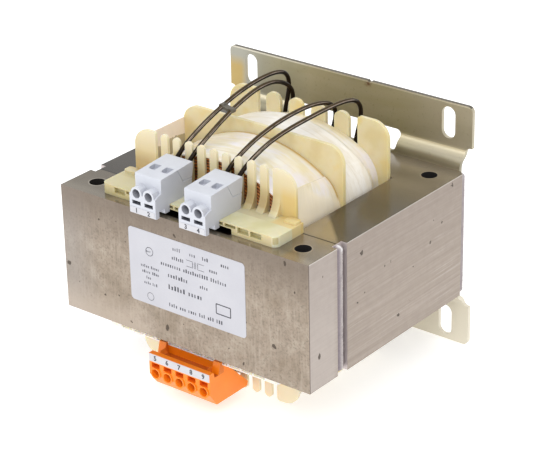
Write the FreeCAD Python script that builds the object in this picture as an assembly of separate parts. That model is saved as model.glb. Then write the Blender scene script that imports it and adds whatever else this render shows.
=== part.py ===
import FreeCAD
import Part
import math
import os

V = FreeCAD.Vector

# An open chassis transformer: a welded core of E and I laminations, a two-section bobbin
# with its windings, a jogged steel mounting bracket behind it and clamp terminals in front.
# X runs across the front, Y from the front towards the mounting plane at y = 0, and Z is up
# through the stack. Depths in the names below count back from the front face of the core.

# Core
core_width = 150.0
core_depth = 125.0
side_limb = 25.0
centre_limb = 50.0
lamination = 0.5
lamination_count = 131
bolt_hole_d = 8.0
bolt_hole_inset = 12.5
rear_clip = 2.6

# Weld grooves at the joint of E and I, and the beads that close them
groove_width = 7.4
groove_depth = 3.2
front_bead_r = 3.1
rear_bead_r = 2.1
rear_bead_margin = 0.1
rear_bead_inset = 0.6
bead_end_gap = 0.9

# Mounting bracket, one bent sheet
sheet = 2.0
joggle = 5.4
plate_inset = 3.4
plate_margin = 0.65
neck_gap_width = 67.0
neck_gap_corner = 3.0
neck_height = 10.25
flange_height = 21.6
flange_corner = 3.0
neck_fillet = 2.5
slot_width = 7.8
slot_length = 16.5
slot_inset = 13.8
nick_x = 14.0
nick_depth = 1.1

# Bobbin
bobbin_end_gap = 0.5
limb_gap = 0.4
tube_wall = 1.8
bobbin_flange = 2.0
front_flange = 1.5
flange_side_gap = 1.3
flange_rise = 28.15
flange_round = 9.0
finger_round = 1.5
slot_floor_margin = 3.0
front_pitch = 7.5
front_finger = 4.3
finger_margin = 10.0
rear_pitch = 14.0
rear_slot = 5.2
rear_floor_step = 2.0
rib_reach = 4.1
rib_height = 9.0

# Windings and their wraps
front_coil_side_gap = 3.5
front_coil_build = 23.05
winding_setback = 0.7
rear_coil_side_gap = 1.7
rear_coil_build = 25.65
rear_coil_length = 25.5
rear_coil_round = 5.0
rear_tape = 2.0
band_side_gap = 6.8
band_build = 20.95
crown_r = 67.5
shoulder_r = 20.0
wrap = 0.8
sheet_insulation = 0.5
side_sheet_gap = 1.8
side_sheet_build = 20.85
side_sheet_clearance = 0.35

# Terminal carriers, one above and one below the I bar
carrier_overhang = 4.1
carrier_front_depth = 5.0
carrier_height = 5.2
carrier_corner = 3.2
carrier_boss_width = 7.0
carrier_boss_length = 5.0
carrier_boss_height = 1.3
pocket_width = 6.5
pocket_ceiling = 0.6
pocket_depth = 1.8
pocket_floor = 1.8
relief_height = 2.6
relief_depth = 16.0
relief_left = 13.1
relief_right = 14.9
relief_wall = 0.5

# Two-pole input terminals, above
pole_pitch = 7.5
input_x = (-17.9, 12.1)
input_overhang = 4.9
input_side = 0.9
input_lip_gap = 0.7
input_lip = 2.5
input_lower_height = 10.6
input_step_depth = 4.5
input_step_height = 12.4
input_top_front = 19.2
input_top_rear = 20.8
input_rear_depth = 22.9
input_heel_depth = 20.6
input_foot_height = 1.5
input_foot_width = 3.4
funnel_r = 3.3
entry_r = 2.3
entry_depth = 9.0
funnel_height = 11.0
test_slot_width = 5.2
test_slot_height = 1.9
test_slot_depth = 7.0
test_slot_drop = 4.5
scoop_width = 4.2
scoop_depths = (6.2, 11.4)
scoop_front = 1.3
scoop_rear = 3.2
marker_thickness = 0.2
marker_height = 3.0
clamp_side = 5.4
clamp_depth = 6.0
clamp_bore_r = 1.7

# Five-pole output terminal, below
output_poles = 5
output_side = 0.2
output_overhang = 4.4
output_top_gap = 6.6
output_front_bottom = 17.9
output_chamfer_depth = 4.6
output_bottom = 24.6
output_rear_depth = 23.8
output_rear_bottom = 22.4
output_ear_height = 3.6
output_ear_width = 4.2
output_ear_foot = 3.4
output_valley = 9.4
output_seat_depth = 7.0
output_entry_drop = 16.8
output_marker_drop = 6.7
output_marker_height = 4.1
output_window_drop = 12.7
output_window_height = 2.6
output_window_width = 5.0

# Rating label
label_width = 70.6
label_height = 38.6
label_x = 3.1
label_z = 3.7
label_corner = 2.0
label_thickness = 0.15

# Leads and the small tie round two of them
lead_d = 2.2
tie_wall = 0.3
tie_web = 0.7
tie_length = 3.4
tie_depth = 55.0

# Places worked out from the sizes above
stack = lamination * lamination_count
top = stack / 2
core_back = -(joggle + sheet)
core_front = core_back - core_depth
joint_depth = side_limb
window_half = core_width / 2 - side_limb
window_width = window_half - centre_limb / 2
window_end_depth = core_depth - side_limb
flange_width = core_width
plate_width = core_width - 2 * plate_inset
flange_inner = top + neck_height
flange_outer = flange_inner + flange_height
slot_x = flange_width / 2 - slot_inset
slot_z = (flange_inner + flange_outer) / 2
bobbin_front = joint_depth + bobbin_end_gap
bobbin_rear = window_end_depth - bobbin_end_gap
divider_depth = (bobbin_front + bobbin_rear) / 2
front_coil = (bobbin_front + front_flange, divider_depth - bobbin_flange / 2)
front_turns = (front_coil[0] + winding_setback, front_coil[1])
rear_coil = (divider_depth + bobbin_flange / 2, bobbin_rear - bobbin_flange)
tube_half_x = centre_limb / 2 + limb_gap + tube_wall
tube_half_z = top + limb_gap + tube_wall
slot_floor = top + slot_floor_margin
rear_slot_floor = slot_floor + rear_floor_step
flange_half_width = window_half - flange_side_gap
flange_half_height = top + flange_rise
front_finger_pairs = int((flange_half_width - finger_margin) / front_pitch) - 1
rear_slot_pairs = int((flange_half_width - finger_margin) / rear_pitch)
front_coil_half_width = window_half - front_coil_side_gap
front_coil_half_height = top + front_coil_build
rear_coil_half_width = window_half - rear_coil_side_gap
rear_coil_half_height = top + rear_coil_build
band_half_width = window_half - band_side_gap
band_half_height = top + band_build
side_sheet_x = window_half - side_sheet_gap
side_sheet_half_height = top + side_sheet_build
carrier_top = top + carrier_height
carrier_half_length = flange_half_width + carrier_overhang
relief_from = input_x[0] - relief_left
relief_to = input_x[1] + relief_right


def at(depth):
    """The y of a depth behind the front face of the core."""
    return core_front + depth


def corner(before, here, after, radius):
    """Start, middle and end of the arc that rounds one corner of an outline."""
    towards = (before - here).normalize()
    away = (after - here).normalize()
    half = towards.getAngle(away) / 2
    reach = radius / math.tan(half)
    middle = here + (towards + away).normalize() * (radius / math.sin(half) - radius)
    return here + towards * reach, middle, here + away * reach


def outline(points, radii):
    """Closed wire in the plane z = 0, with each corner rounded by its radius."""
    spots = [V(u, v, 0) for u, v in points]
    if not isinstance(radii, (list, tuple)):
        radii = [radii] * len(spots)
    arcs = []
    for i, here in enumerate(spots):
        after = spots[(i + 1) % len(spots)]
        if radii[i] > 0:
            arcs.append(corner(spots[i - 1], here, after, radii[i]))
        else:
            arcs.append((here, None, here))
    edges = []
    for i, (start, middle, end) in enumerate(arcs):
        following = arcs[(i + 1) % len(arcs)][0]
        if middle is not None:
            edges.append(Part.Arc(start, middle, end).toShape())
        if (following - end).Length > 1e-7:
            edges.append(Part.LineSegment(end, following).toShape())
    return Part.Wire(edges)


def prism(wire, axis, start, length):
    """Solid of an outline (u, v) run along X with (y, z), along Y with (x, z), or along Z."""
    turns = {
        "X": (V(1, 0, 0), FreeCAD.Rotation(V(1, 1, 1), 120)),
        "Y": (V(0, 1, 0), FreeCAD.Rotation(V(1, 0, 0), 90)),
        "Z": (V(0, 0, 1), FreeCAD.Rotation()),
    }
    along, turn = turns[axis]
    face = Part.Face(wire)
    face.Placement = FreeCAD.Placement(along * start, turn)
    return face.extrude(along * length)


def block(x_range, depth_range, z_range):
    """Box between two x values, two depths behind the core's front and two z values."""
    size = [b - a for a, b in (x_range, depth_range, z_range)]
    return Part.makeBox(*size, V(x_range[0], at(depth_range[0]), z_range[0]))


def rod(radius, depth_range, x, z):
    """Cylinder along Y."""
    length = depth_range[1] - depth_range[0]
    return Part.makeCylinder(radius, length, V(x, at(depth_range[0]), z), V(0, 1, 0))


def mirrored(shape, normal):
    return shape.mirror(V(0, 0, 0), normal)


def rectangle(half_u, low_v, high_v):
    return [(-half_u, low_v), (half_u, low_v), (half_u, high_v), (-half_u, high_v)]


def joined(shapes):
    """One shape of many that touch, without the seams between them."""
    return shapes[0].fuse(shapes[1:]).removeSplitter()


# Core


def weld_grooves():
    half = core_width / 2
    depths = (joint_depth - groove_width / 2, joint_depth + groove_width / 2)
    groove = block((half - groove_depth, half + 1), depths, (-top - 1, top + 1))
    return [groove, mirrored(groove, V(1, 0, 0))]


def bolt_holes(depth):
    x = core_width / 2 - bolt_hole_inset
    holes = []
    for side in (-x, x):
        place = V(side, at(depth), -top - 1)
        holes.append(Part.makeCylinder(bolt_hole_d / 2, stack + 2, place))
    return holes


def i_laminations():
    half = core_width / 2
    bar = block((-half, half), (0, joint_depth), (-top, top))
    return bar.cut(weld_grooves() + bolt_holes(bolt_hole_inset))


def e_laminations():
    half = core_width / 2
    back = at(core_depth)
    front = at(joint_depth)
    points = [(-half, front), (half, front), (half, back - rear_clip), (half - rear_clip, back),
              (rear_clip - half, back), (-half, back - rear_clip)]
    body = prism(outline(points, 0), "Z", -top, stack)
    near = centre_limb / 2
    window = block((near, near + window_width), (joint_depth - 1, window_end_depth), (-top, top))
    windows = [window, mirrored(window, V(1, 0, 0))]
    return body.cut(windows + weld_grooves() + bolt_holes(core_depth - bolt_hole_inset))


def bead(radius, x, depth):
    """Upright round bead with domed ends, just short of the stack."""
    reach = top - bead_end_gap - radius
    place = V(x, at(depth), -reach)
    column = Part.makeCylinder(radius, 2 * reach, place)
    low = Part.makeSphere(radius, place)
    high = Part.makeSphere(radius, place + V(0, 0, 2 * reach))
    return joined([column, low, high])


def front_weld():
    floor = core_width / 2 - groove_depth
    keep = block((floor, core_width), (0, core_depth), (-top, top))
    return bead(front_bead_r, floor, joint_depth).common(keep)


def rear_weld(core, bracket):
    x = core_width / 2 - rear_bead_r - rear_bead_margin
    weld = bead(rear_bead_r, x, core_depth - rear_bead_inset)
    return weld.cut([core, bracket])


# Mounting bracket


def bend_face():
    """Section of the bent sheet: the plate behind the core, jogged back into both flanges."""
    low = top + plate_margin
    rise = flange_inner - low
    angle = 2 * math.atan2(joggle, rise)
    radius = rise / (2 * math.sin(angle))
    plate_y = core_back + sheet / 2
    flange_y = -sheet / 2
    upper = []
    for offset in (-sheet / 2, sheet / 2):
        first = radius - offset
        second = radius + offset
        first_centre = V(plate_y + radius, low, 0)
        second_centre = V(flange_y - radius, flange_inner, 0)
        turn = V(-math.cos(angle), math.sin(angle), 0)
        half_turn = V(-math.cos(angle / 2), math.sin(angle / 2), 0)
        upper.append([first_centre + V(-first, 0, 0), first_centre + half_turn * first,
                      first_centre + turn * first, second_centre - half_turn * second,
                      second_centre + V(second, 0, 0), V(flange_y + offset, flange_outer, 0)])
    front, rear = upper
    edges = []
    for points in (front, rear):
        for flip in (1, -1):
            p = [V(q.x, q.y * flip, 0) for q in points]
            edges.append(Part.Arc(p[0], p[1], p[2]).toShape())
            edges.append(Part.Arc(p[2], p[3], p[4]).toShape())
            edges.append(Part.LineSegment(p[4], p[5]).toShape())
        low_point = V(points[0].x, -points[0].y, 0)
        edges.append(Part.LineSegment(points[0], low_point).toShape())
    for flip in (1, -1):
        a = V(front[5].x, front[5].y * flip, 0)
        b = V(rear[5].x, rear[5].y * flip, 0)
        edges.append(Part.LineSegment(a, b).toShape())
    return Part.Wire(Part.__sortEdges__(edges))


def bracket_blank():
    """Front view of the sheet: plate, necks and the two wider flanges."""
    wide = flange_width / 2
    plate = plate_width / 2
    corners = [(-wide, flange_outer), (wide, flange_outer), (wide, flange_inner),
               (plate, flange_inner), (plate, -flange_inner), (wide, -flange_inner),
               (wide, -flange_outer), (-wide, -flange_outer), (-wide, -flange_inner),
               (-plate, -flange_inner), (-plate, flange_inner), (-wide, flange_inner)]
    rounds = [flange_corner, flange_corner, 0, neck_fillet, neck_fillet, 0,
              flange_corner, flange_corner, 0, neck_fillet, neck_fillet, 0]
    return outline(corners, rounds)


def mounting_bracket():
    half = flange_width / 2
    bent = prism(bend_face(), "X", -half, flange_width)
    depth = joggle + 2 * sheet
    bracket = bent.common(prism(bracket_blank(), "Y", -depth, 2 * depth))
    gap = rectangle(neck_gap_width / 2, top + plate_margin, flange_inner)
    gap_hole = prism(outline(gap, neck_gap_corner), "Y", -depth, 2 * depth)
    holes = [gap_hole, mirrored(gap_hole, V(0, 0, 1))]
    slot = rectangle(slot_width / 2, -slot_length / 2, slot_length / 2)
    slot_hole = prism(outline(slot, slot_width / 2 - 0.001), "Y", -depth, 2 * depth)
    for x in (-slot_x, slot_x):
        for z in (-slot_z, slot_z):
            holes.append(slot_hole.translated(V(x, 0, z)))
    nick = [(nick_x - nick_depth, flange_outer), (nick_x, flange_outer - nick_depth),
            (nick_x + nick_depth, flange_outer), (nick_x, flange_outer + nick_depth)]
    holes.append(prism(outline(nick, 0), "Y", -depth, 2 * depth))
    return bracket.cut(holes)


# Bobbin


def plate_outline(half_width, low, high, outer_round):
    return outline(rectangle(half_width, low, high), outer_round)


def finger(x, width, floor, tip_round):
    """Upright tongue with a rounded tip, as a front-view outline."""
    points = [(x - width / 2, floor), (x + width / 2, floor),
              (x + width / 2, flange_half_height), (x - width / 2, flange_half_height)]
    return outline(points, [0, 0, tip_round, tip_round])


def tab(inner, floor):
    """Wide outer tongue of a slotted flange, with a large outer corner."""
    points = [(inner, floor), (flange_half_width, floor),
              (flange_half_width, flange_half_height), (inner, flange_half_height)]
    return outline(points, [0, 0, flange_round, finger_round])


def flange_tongues(start, thickness, floor, fingers, width, tip_round, tab_inner):
    shapes = [prism(tab(tab_inner, floor), "Y", start, thickness)]
    shapes.append(mirrored(shapes[0], V(1, 0, 0)))
    for x in fingers:
        shapes.append(prism(finger(x, width, floor, tip_round), "Y", start, thickness))
    return shapes + [mirrored(shape, V(0, 0, 1)) for shape in shapes]


def flange_ribs(x):
    """Foot of a front finger, curving forward onto the terminal carrier."""
    root = at(bobbin_front)
    curve = (rib_reach ** 2 + rib_height ** 2) / (2 * rib_reach)
    sweep = math.asin(rib_height / curve) / 2
    low = V(root - rib_reach, carrier_top, 0)
    high = V(root, carrier_top + rib_height, 0)
    inner = V(root, carrier_top, 0)
    middle = high + V(-curve + curve * math.cos(sweep), -curve * math.sin(sweep), 0)
    edges = [Part.Arc(low, middle, high).toShape(), Part.LineSegment(high, inner).toShape(),
             Part.LineSegment(inner, low).toShape()]
    rib = prism(Part.Wire(edges), "X", x - front_finger / 2, front_finger)
    return [rib, mirrored(rib, V(0, 0, 1))]


def bobbin():
    front = at(bobbin_front)
    rear = at(bobbin_rear - bobbin_flange)
    middle = at(divider_depth - bobbin_flange / 2)
    finger_count = 2 * front_finger_pairs + 1
    front_fingers = [front_pitch * (i - front_finger_pairs) for i in range(finger_count)]
    front_tab = front_pitch * (front_finger_pairs + 1) - front_finger / 2
    rear_finger = rear_pitch - rear_slot
    rear_fingers = [rear_pitch * (i + 0.5 - rear_slot_pairs) for i in range(2 * rear_slot_pairs)]
    rear_tab = rear_pitch * rear_slot_pairs + rear_slot / 2
    webs = [
        prism(plate_outline(flange_half_width, -slot_floor, slot_floor, 0), "Y", front,
              front_flange),
        prism(plate_outline(flange_half_width, -rear_slot_floor, rear_slot_floor, 0), "Y", rear,
              bobbin_flange),
        prism(plate_outline(flange_half_width, -flange_half_height, flange_half_height,
                            flange_round), "Y", middle, bobbin_flange),
        block((-tube_half_x, tube_half_x), (bobbin_front, bobbin_rear),
              (-tube_half_z, tube_half_z)),
    ]
    webs += flange_tongues(front, front_flange, slot_floor, front_fingers, front_finger,
                           front_finger / 2 - 0.001, front_tab)
    webs += flange_tongues(rear, bobbin_flange, rear_slot_floor, rear_fingers, rear_finger,
                           rear_finger / 2 - 0.4, rear_tab)
    outermost = front_pitch * (front_finger_pairs + 1)
    for x in [-outermost] + front_fingers + [outermost]:
        webs += flange_ribs(x)
    inner_x = centre_limb / 2 + limb_gap
    inner_z = top + limb_gap
    bore = block((-inner_x, inner_x), (bobbin_front - 1, bobbin_rear + 1), (-inner_z, inner_z))
    return joined(webs).cut(bore)


# Windings and insulation


def coil_wire(half_width, half_height):
    """Crowned outline of a wound coil: upright sides, round shoulders and a shallow crown."""
    crown_z = half_height - crown_r
    across = half_width - shoulder_r
    reach = crown_r - shoulder_r
    shoulder_z = crown_z + math.sqrt(reach ** 2 - across ** 2)
    slope = math.atan2(across, shoulder_z - crown_z)
    meet = (crown_r * math.sin(slope), crown_z + crown_r * math.cos(slope))
    bisect = (slope + math.pi / 2) / 2
    bend = (across + shoulder_r * math.sin(bisect), shoulder_z + shoulder_r * math.cos(bisect))
    edges = []
    for flip in (1, -1):
        for side in (1, -1):
            start = V(side * half_width, flip * shoulder_z, 0)
            middle = V(side * bend[0], flip * bend[1], 0)
            end = V(side * meet[0], flip * meet[1], 0)
            edges.append(Part.Arc(start, middle, end).toShape())
        left = V(-meet[0], flip * meet[1], 0)
        right = V(meet[0], flip * meet[1], 0)
        edges.append(Part.Arc(left, V(0, flip * half_height, 0), right).toShape())
    for side in (1, -1):
        low = V(side * half_width, -shoulder_z, 0)
        high = V(side * half_width, shoulder_z, 0)
        edges.append(Part.LineSegment(low, high).toShape())
    return Part.Wire(Part.__sortEdges__(edges))


def coil_body(half_width, half_height, depth_range):
    length = depth_range[1] - depth_range[0]
    return prism(coil_wire(half_width, half_height), "Y", at(depth_range[0]), length)


def tube_space(depth_range):
    return block((-tube_half_x, tube_half_x), depth_range, (-tube_half_z, tube_half_z))


def front_winding():
    half_width = front_coil_half_width - wrap
    body = coil_body(half_width, front_coil_half_height - wrap, front_turns)
    return body.cut(tube_space(front_turns))


def front_winding_wrap():
    outer = coil_body(front_coil_half_width, front_coil_half_height, front_coil)
    half_width = front_coil_half_width - wrap
    return outer.cut(coil_body(half_width, front_coil_half_height - wrap, front_coil))


def rear_winding():
    end = rear_coil[0] + rear_coil_length - rear_tape
    body = coil_body(rear_coil_half_width - rear_tape, rear_coil_half_height - rear_tape,
                     (rear_coil[0], end))
    stub = coil_body(band_half_width - wrap, band_half_height - wrap,
                     (end - wrap, rear_coil[1] - winding_setback))
    return joined([body, stub]).cut(tube_space(rear_coil))


def rear_winding_tape():
    """Taped outside of the rear coil, with its far edge rounded over."""
    end = rear_coil[0] + rear_coil_length
    body = coil_body(rear_coil_half_width, rear_coil_half_height, (rear_coil[0], end))
    rim = [edge for edge in body.Edges
           if abs(edge.BoundBox.YMin - at(end)) < 1e-6 and edge.BoundBox.YLength < 1e-6]
    rounded = body.makeFillet(rear_coil_round, rim)
    return rounded.cut([rear_winding(), tube_space(rear_coil)])


def rear_winding_band():
    """Film round the narrow step between the taped coil and the rear flange."""
    depths = (rear_coil[0] + rear_coil_length, rear_coil[1])
    outer = coil_body(band_half_width, band_half_height, depths)
    return outer.cut(coil_body(band_half_width - wrap, band_half_height - wrap, depths))


def side_sheet_left():
    high = side_sheet_half_height
    return block((-side_sheet_x - sheet_insulation, -side_sheet_x), front_coil, (-high, high))


def side_sheet_right():
    """Sheet that stands upright at the front flange and lies on the coil at the divider."""
    start, end = at(front_coil[0]), at(front_coil[1])
    low = V(side_sheet_x, start, -side_sheet_half_height)
    high = V(side_sheet_x, start, side_sheet_half_height)
    margin = side_sheet_clearance
    crown_z = front_coil_half_height + margin - crown_r
    across = front_coil_half_width + margin - shoulder_r
    slope = math.asin(across / (crown_r - shoulder_r))
    shoulder_z = crown_z + (crown_r - shoulder_r) * math.cos(slope)
    bisect = (slope + math.pi / 2) / 2
    x_mid = across + shoulder_r * math.sin(bisect)
    z_mid = shoulder_z + shoulder_r * math.cos(bisect)
    x_end = crown_r * math.sin(slope)
    z_end = crown_z + crown_r * math.cos(slope)
    side = V(front_coil_half_width + margin, end, 0)
    rear = Part.BSplineCurve()
    rear.interpolate([V(x_end, end, -z_end), V(x_mid, end, -z_mid), side + V(0, 0, -shoulder_z),
                      side, side + V(0, 0, shoulder_z), V(x_mid, end, z_mid),
                      V(x_end, end, z_end)])
    surface = Part.makeRuledSurface(Part.LineSegment(low, high).toShape(), rear.toShape())
    return surface.extrude(V(sheet_insulation, 0, 0))


# Terminal carriers


def terminal_carrier():
    """Plate along the I bar, hollowed below its front, with pockets and two end bosses."""
    front = carrier_front_depth
    half = carrier_half_length
    plan = [(-half, at(front)), (half, at(front)), (half, at(bobbin_front)),
            (-half, at(bobbin_front))]
    plate = outline(plan, [carrier_corner, carrier_corner, 0, 0])
    shapes = [prism(plate, "Z", top, carrier_height)]
    boss_end = bobbin_front - 0.3
    for outer in (-half + 0.6, half - 0.6 - carrier_boss_width):
        boss = outline([(outer, at(boss_end - carrier_boss_length)),
                        (outer + carrier_boss_width, at(boss_end - carrier_boss_length)),
                        (outer + carrier_boss_width, at(boss_end)), (outer, at(boss_end))], 1.4)
        shapes.append(prism(boss, "Z", carrier_top - 0.5, carrier_boss_height + 0.5))
    cuts = [block((relief_from, relief_to), (front - 1, front + relief_depth),
                  (top, top + relief_height))]
    pockets = int((half - carrier_corner) / front_pitch)
    ceiling = carrier_top - pocket_ceiling
    for i in range(-pockets, pockets):
        x = (i + 0.5) * front_pitch
        over_relief = relief_from - pocket_width / 2 < x < relief_to + pocket_width / 2
        floor = relief_height + relief_wall if over_relief else pocket_floor
        cuts.append(block((x - pocket_width / 2, x + pocket_width / 2),
                          (front - 1, front + pocket_depth), (top + floor, ceiling)))
    return joined(shapes).cut(cuts)


# Input terminals


def input_profile():
    """Side view (depth, height above the core) of an input housing."""
    front = -input_overhang
    step = front + input_step_depth
    foot = carrier_front_depth
    return [
        (front, input_lip_gap), (front, input_lower_height), (step, input_step_height),
        (step, input_top_front), (input_rear_depth, input_top_rear),
        (input_heel_depth, carrier_height), (foot, carrier_height),
        (foot, input_foot_height), (foot - input_foot_width, input_foot_height),
        (foot - input_foot_width, input_foot_height + input_lip),
        (front + input_lip, input_foot_height + input_lip), (front + input_lip, input_lip_gap),
    ]


def input_housing(x):
    half = pole_pitch + input_side / 2
    points = [(at(depth), top + height) for depth, height in input_profile()]
    rounds = [0.5, 0.3, 0, 0.6, 0.6, 0.6, 0, 0.4, 0.4, 0, 0, 0.4]
    body = prism(outline(points, rounds), "X", x - half, 2 * half)
    front = -input_overhang
    step = front + input_step_depth
    z = top + funnel_height
    funnels = []
    cuts = []
    for side in (-1, 1):
        pole = x + side * pole_pitch / 2
        funnels.append(rod(funnel_r, (front, step + 1), pole, z))
        cuts.append(rod(entry_r, (front - 1, front + entry_depth), pole, z))
        cuts.append(clamp_space(pole, front + entry_depth, z))
        slot_z_mid = z - test_slot_drop
        cuts.append(block((pole - test_slot_width / 2, pole + test_slot_width / 2),
                          (front - 1, front + test_slot_depth),
                          (slot_z_mid - test_slot_height / 2, slot_z_mid + test_slot_height / 2)))
        cuts.append(latch_recess(pole))
        cuts.append(side_seam(x + side * half))
    return joined([body] + funnels).cut(cuts)


def clamp_space(x, depth, z):
    half = clamp_side / 2
    return block((x - half, x + half), (depth, depth + clamp_depth), (z - half, z + half))


def latch_recess(x):
    """Recess in the top, round at its front end, with a floor that falls to the rear."""
    half = scoop_width / 2
    start, end = [at(depth) for depth in scoop_depths]
    plan = outline([(x - half, start), (x + half, start), (x + half, end), (x - half, end)],
                   [half - 0.001, half - 0.001, 0.5, 0.5])
    above = input_top_rear + 2
    well = prism(plan, "Z", top + input_lower_height, above - input_lower_height)
    slope = [(start - 1, top + input_top_front - scoop_front),
             (end + 1, top + input_top_rear - scoop_rear),
             (end + 1, top + above + 1), (start - 1, top + above + 1)]
    return well.common(prism(outline(slope, 0), "X", x - half - 1, 2 * half + 2))


def side_seam(x):
    """Shallow V line on the side of a housing where its two shells meet."""
    depth = 0.3
    width = 0.45
    path = [(10.4, input_top_front + 2), (15.1, input_step_height + 0.4),
            (input_rear_depth + 1, input_step_height + 0.2)]
    points = path + [(d, h + width * 1.4) for d, h in reversed(path)]
    shape = [(at(d), top + h) for d, h in points]
    return prism(outline(shape, 0), "X", x - depth, 2 * depth)


def clamp(x, depth, z):
    """Sprung steel clamp at the end of one wire entry."""
    return clamp_space(x, depth, z).cut(rod(clamp_bore_r, (depth - 1, depth + 4), x, z))


def input_clamps(x):
    z = top + funnel_height
    depth = entry_depth - input_overhang
    return Part.makeCompound([clamp(x + side * pole_pitch / 2, depth, z) for side in (-1, 1)])


def input_marker(x):
    half = pole_pitch + input_side / 2 - 0.5
    low = top + input_lip_gap + 0.3
    return block((x - half, x + half), (-input_overhang - marker_thickness, -input_overhang),
                 (low, low + marker_height))


# Output terminal


def output_profile(ear):
    """Side view (depth, height) of the output housing, with or without its end ear."""
    front = -output_overhang
    seat = carrier_front_depth
    crest = output_ear_height if ear else output_valley
    return [
        (front, -output_top_gap), (front + 2.8, -output_top_gap), (front + 3.6, -output_valley),
        (seat - 3.0, -output_valley), (seat - 1.4, -crest), (seat, -crest),
        (seat, -carrier_height), (output_seat_depth, -carrier_height),
        (output_rear_depth, -output_rear_bottom), (output_rear_depth - 0.8, -output_bottom),
        (front + output_chamfer_depth, -output_bottom), (front, -output_front_bottom),
    ]


def output_slice(ear, start, end):
    points = [(at(depth), height - top) for depth, height in output_profile(ear)]
    if not ear:
        points = points[:3] + points[5:]
    return prism(outline(points, 0), "X", start, end - start)


def ear_foot(x, side):
    """Hollow curve between an ear and the trough beside it."""
    r = output_ear_foot
    floor = -top - output_valley
    centre = V(x - side * r, floor + r, 0)
    turn = math.pi / 4
    middle = centre + V(side * r * math.cos(turn), -r * math.sin(turn), 0)
    edges = [Part.Arc(V(x - side * r, floor, 0), middle, V(x, floor + r, 0)).toShape(),
             Part.LineSegment(V(x, floor + r, 0), V(x, floor, 0)).toShape(),
             Part.LineSegment(V(x, floor, 0), V(x - side * r, floor, 0)).toShape()]
    length = carrier_front_depth - 1.4 + output_overhang - 3.6
    return prism(Part.Wire(edges), "Y", at(3.6 - output_overhang), length)


def output_poles_x():
    return [pole_pitch * (i - (output_poles - 1) / 2) for i in range(output_poles)]


def output_housing():
    half = output_poles * pole_pitch / 2 + output_side
    inner = half - output_ear_width
    body = joined([output_slice(True, -half, -inner), output_slice(False, -inner, inner),
                   output_slice(True, inner, half)])
    front = -output_overhang
    z = -top - output_entry_drop
    rings = [ear_foot(inner, 1), ear_foot(-inner, -1)]
    cuts = []
    for x in output_poles_x():
        rings.append(rod(funnel_r - 0.3, (front - 0.5, front + 3), x, z))
        cuts.append(rod(entry_r, (front - 1, front + entry_depth), x, z))
        cuts.append(clamp_space(x, front + entry_depth, z))
        window = -top - output_window_drop
        cuts.append(block((x - output_window_width / 2, x + output_window_width / 2),
                          (front - 1, front + 3.2),
                          (window - output_window_height / 2, window + output_window_height / 2)))
    return joined([body] + rings).cut(cuts)


def output_clamps():
    z = -top - output_entry_drop
    depth = entry_depth - output_overhang
    return Part.makeCompound([clamp(x, depth, z) for x in output_poles_x()])


def output_marker():
    half = output_poles * pole_pitch / 2 + output_side - 0.2
    high = -top - output_marker_drop
    return block((-half, half), (-output_overhang - marker_thickness, -output_overhang),
                 (high - output_marker_height, high))


# Rating label


def rating_label():
    points = rectangle(label_width / 2, -label_height / 2, label_height / 2)
    plate = prism(outline(points, label_corner), "Y", at(-label_thickness), label_thickness)
    return plate.translated(V(label_x, 0, label_z))


# Leads: each has the rear slot it ends in, counted from the middle, and a route of points
# (x, depth, height over the stack) from a terminal over the coils into that slot.


rear_end = rear_slot_floor - top
lead_routes = {
    "lead_1": (1, [(-21.4, 21.9, 16.75), (-18.75, 24.9, 23.95), (-18.3, 39.0, 30.65),
                   (-17.8, 49.0, 34.45), (-17.4, 59.0, 37.65), (-16.8, 70.5, 40.35),
                   (-16.1, 83.0, 41.95), (-15.6, 94.0, 41.65), (-15.4, 101.2, 39.05),
                   (-15.2, 103.6, 33.25), (-15.2, 102.0, 26.25), (-15.3, 99.7, 19.25),
                   (-15.3, 98.8, 12.25), (-15.3, 98.7, rear_end)]),
    "lead_2": (1, [(-13.9, 21.9, 16.75), (-11.3, 24.9, 23.45), (-11.7, 39.0, 29.45),
                   (-12.1, 49.0, 33.15), (-12.5, 59.0, 36.15), (-12.7, 70.5, 38.85),
                   (-12.7, 80.0, 39.75), (-12.8, 89.0, 38.85), (-12.8, 97.0, 35.55),
                   (-12.8, 102.6, 30.45), (-12.7, 103.2, 24.45), (-12.7, 100.4, 18.65),
                   (-12.7, 98.8, 12.65), (-12.7, 98.7, rear_end)]),
    "lead_3": (1, [(8.6, 21.9, 16.75), (11.2, 24.9, 23.45), (11.6, 39.0, 29.15),
                   (11.9, 49.0, 31.55), (12.2, 59.0, 33.25), (12.6, 70.5, 34.25),
                   (13.1, 83.0, 34.25), (13.6, 94.0, 32.45), (13.8, 101.2, 28.65),
                   (13.9, 102.8, 23.05), (13.9, 100.4, 17.45), (13.8, 98.8, 11.85),
                   (13.8, 98.7, rear_end)]),
    "lead_4": (2, [(16.1, 21.9, 16.75), (18.7, 24.9, 23.65), (20.0, 39.0, 29.95),
                   (21.1, 49.0, 32.45), (22.3, 59.0, 34.05), (23.9, 70.5, 35.45),
                   (25.8, 83.0, 36.65), (27.3, 93.0, 36.75), (28.1, 100.0, 35.05),
                   (28.3, 103.6, 30.45), (28.3, 103.4, 24.25), (28.2, 100.8, 18.05),
                   (28.1, 98.8, 11.85), (28.1, 98.7, rear_end)]),
}
turn_share = 0.45


def lead_route(name):
    """Points (x, depth, z) of a lead, drawn in where the flange has fewer slots."""
    slot, points = lead_routes[name]
    drift = rear_pitch * (min(slot, rear_slot_pairs) - slot)
    route = []
    for x, depth, rise in points:
        share = (depth - bobbin_front) / (bobbin_rear - bobbin_front)
        route.append((x + drift * min(max(share, 0), 1), depth, top + rise))
    return route


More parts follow.
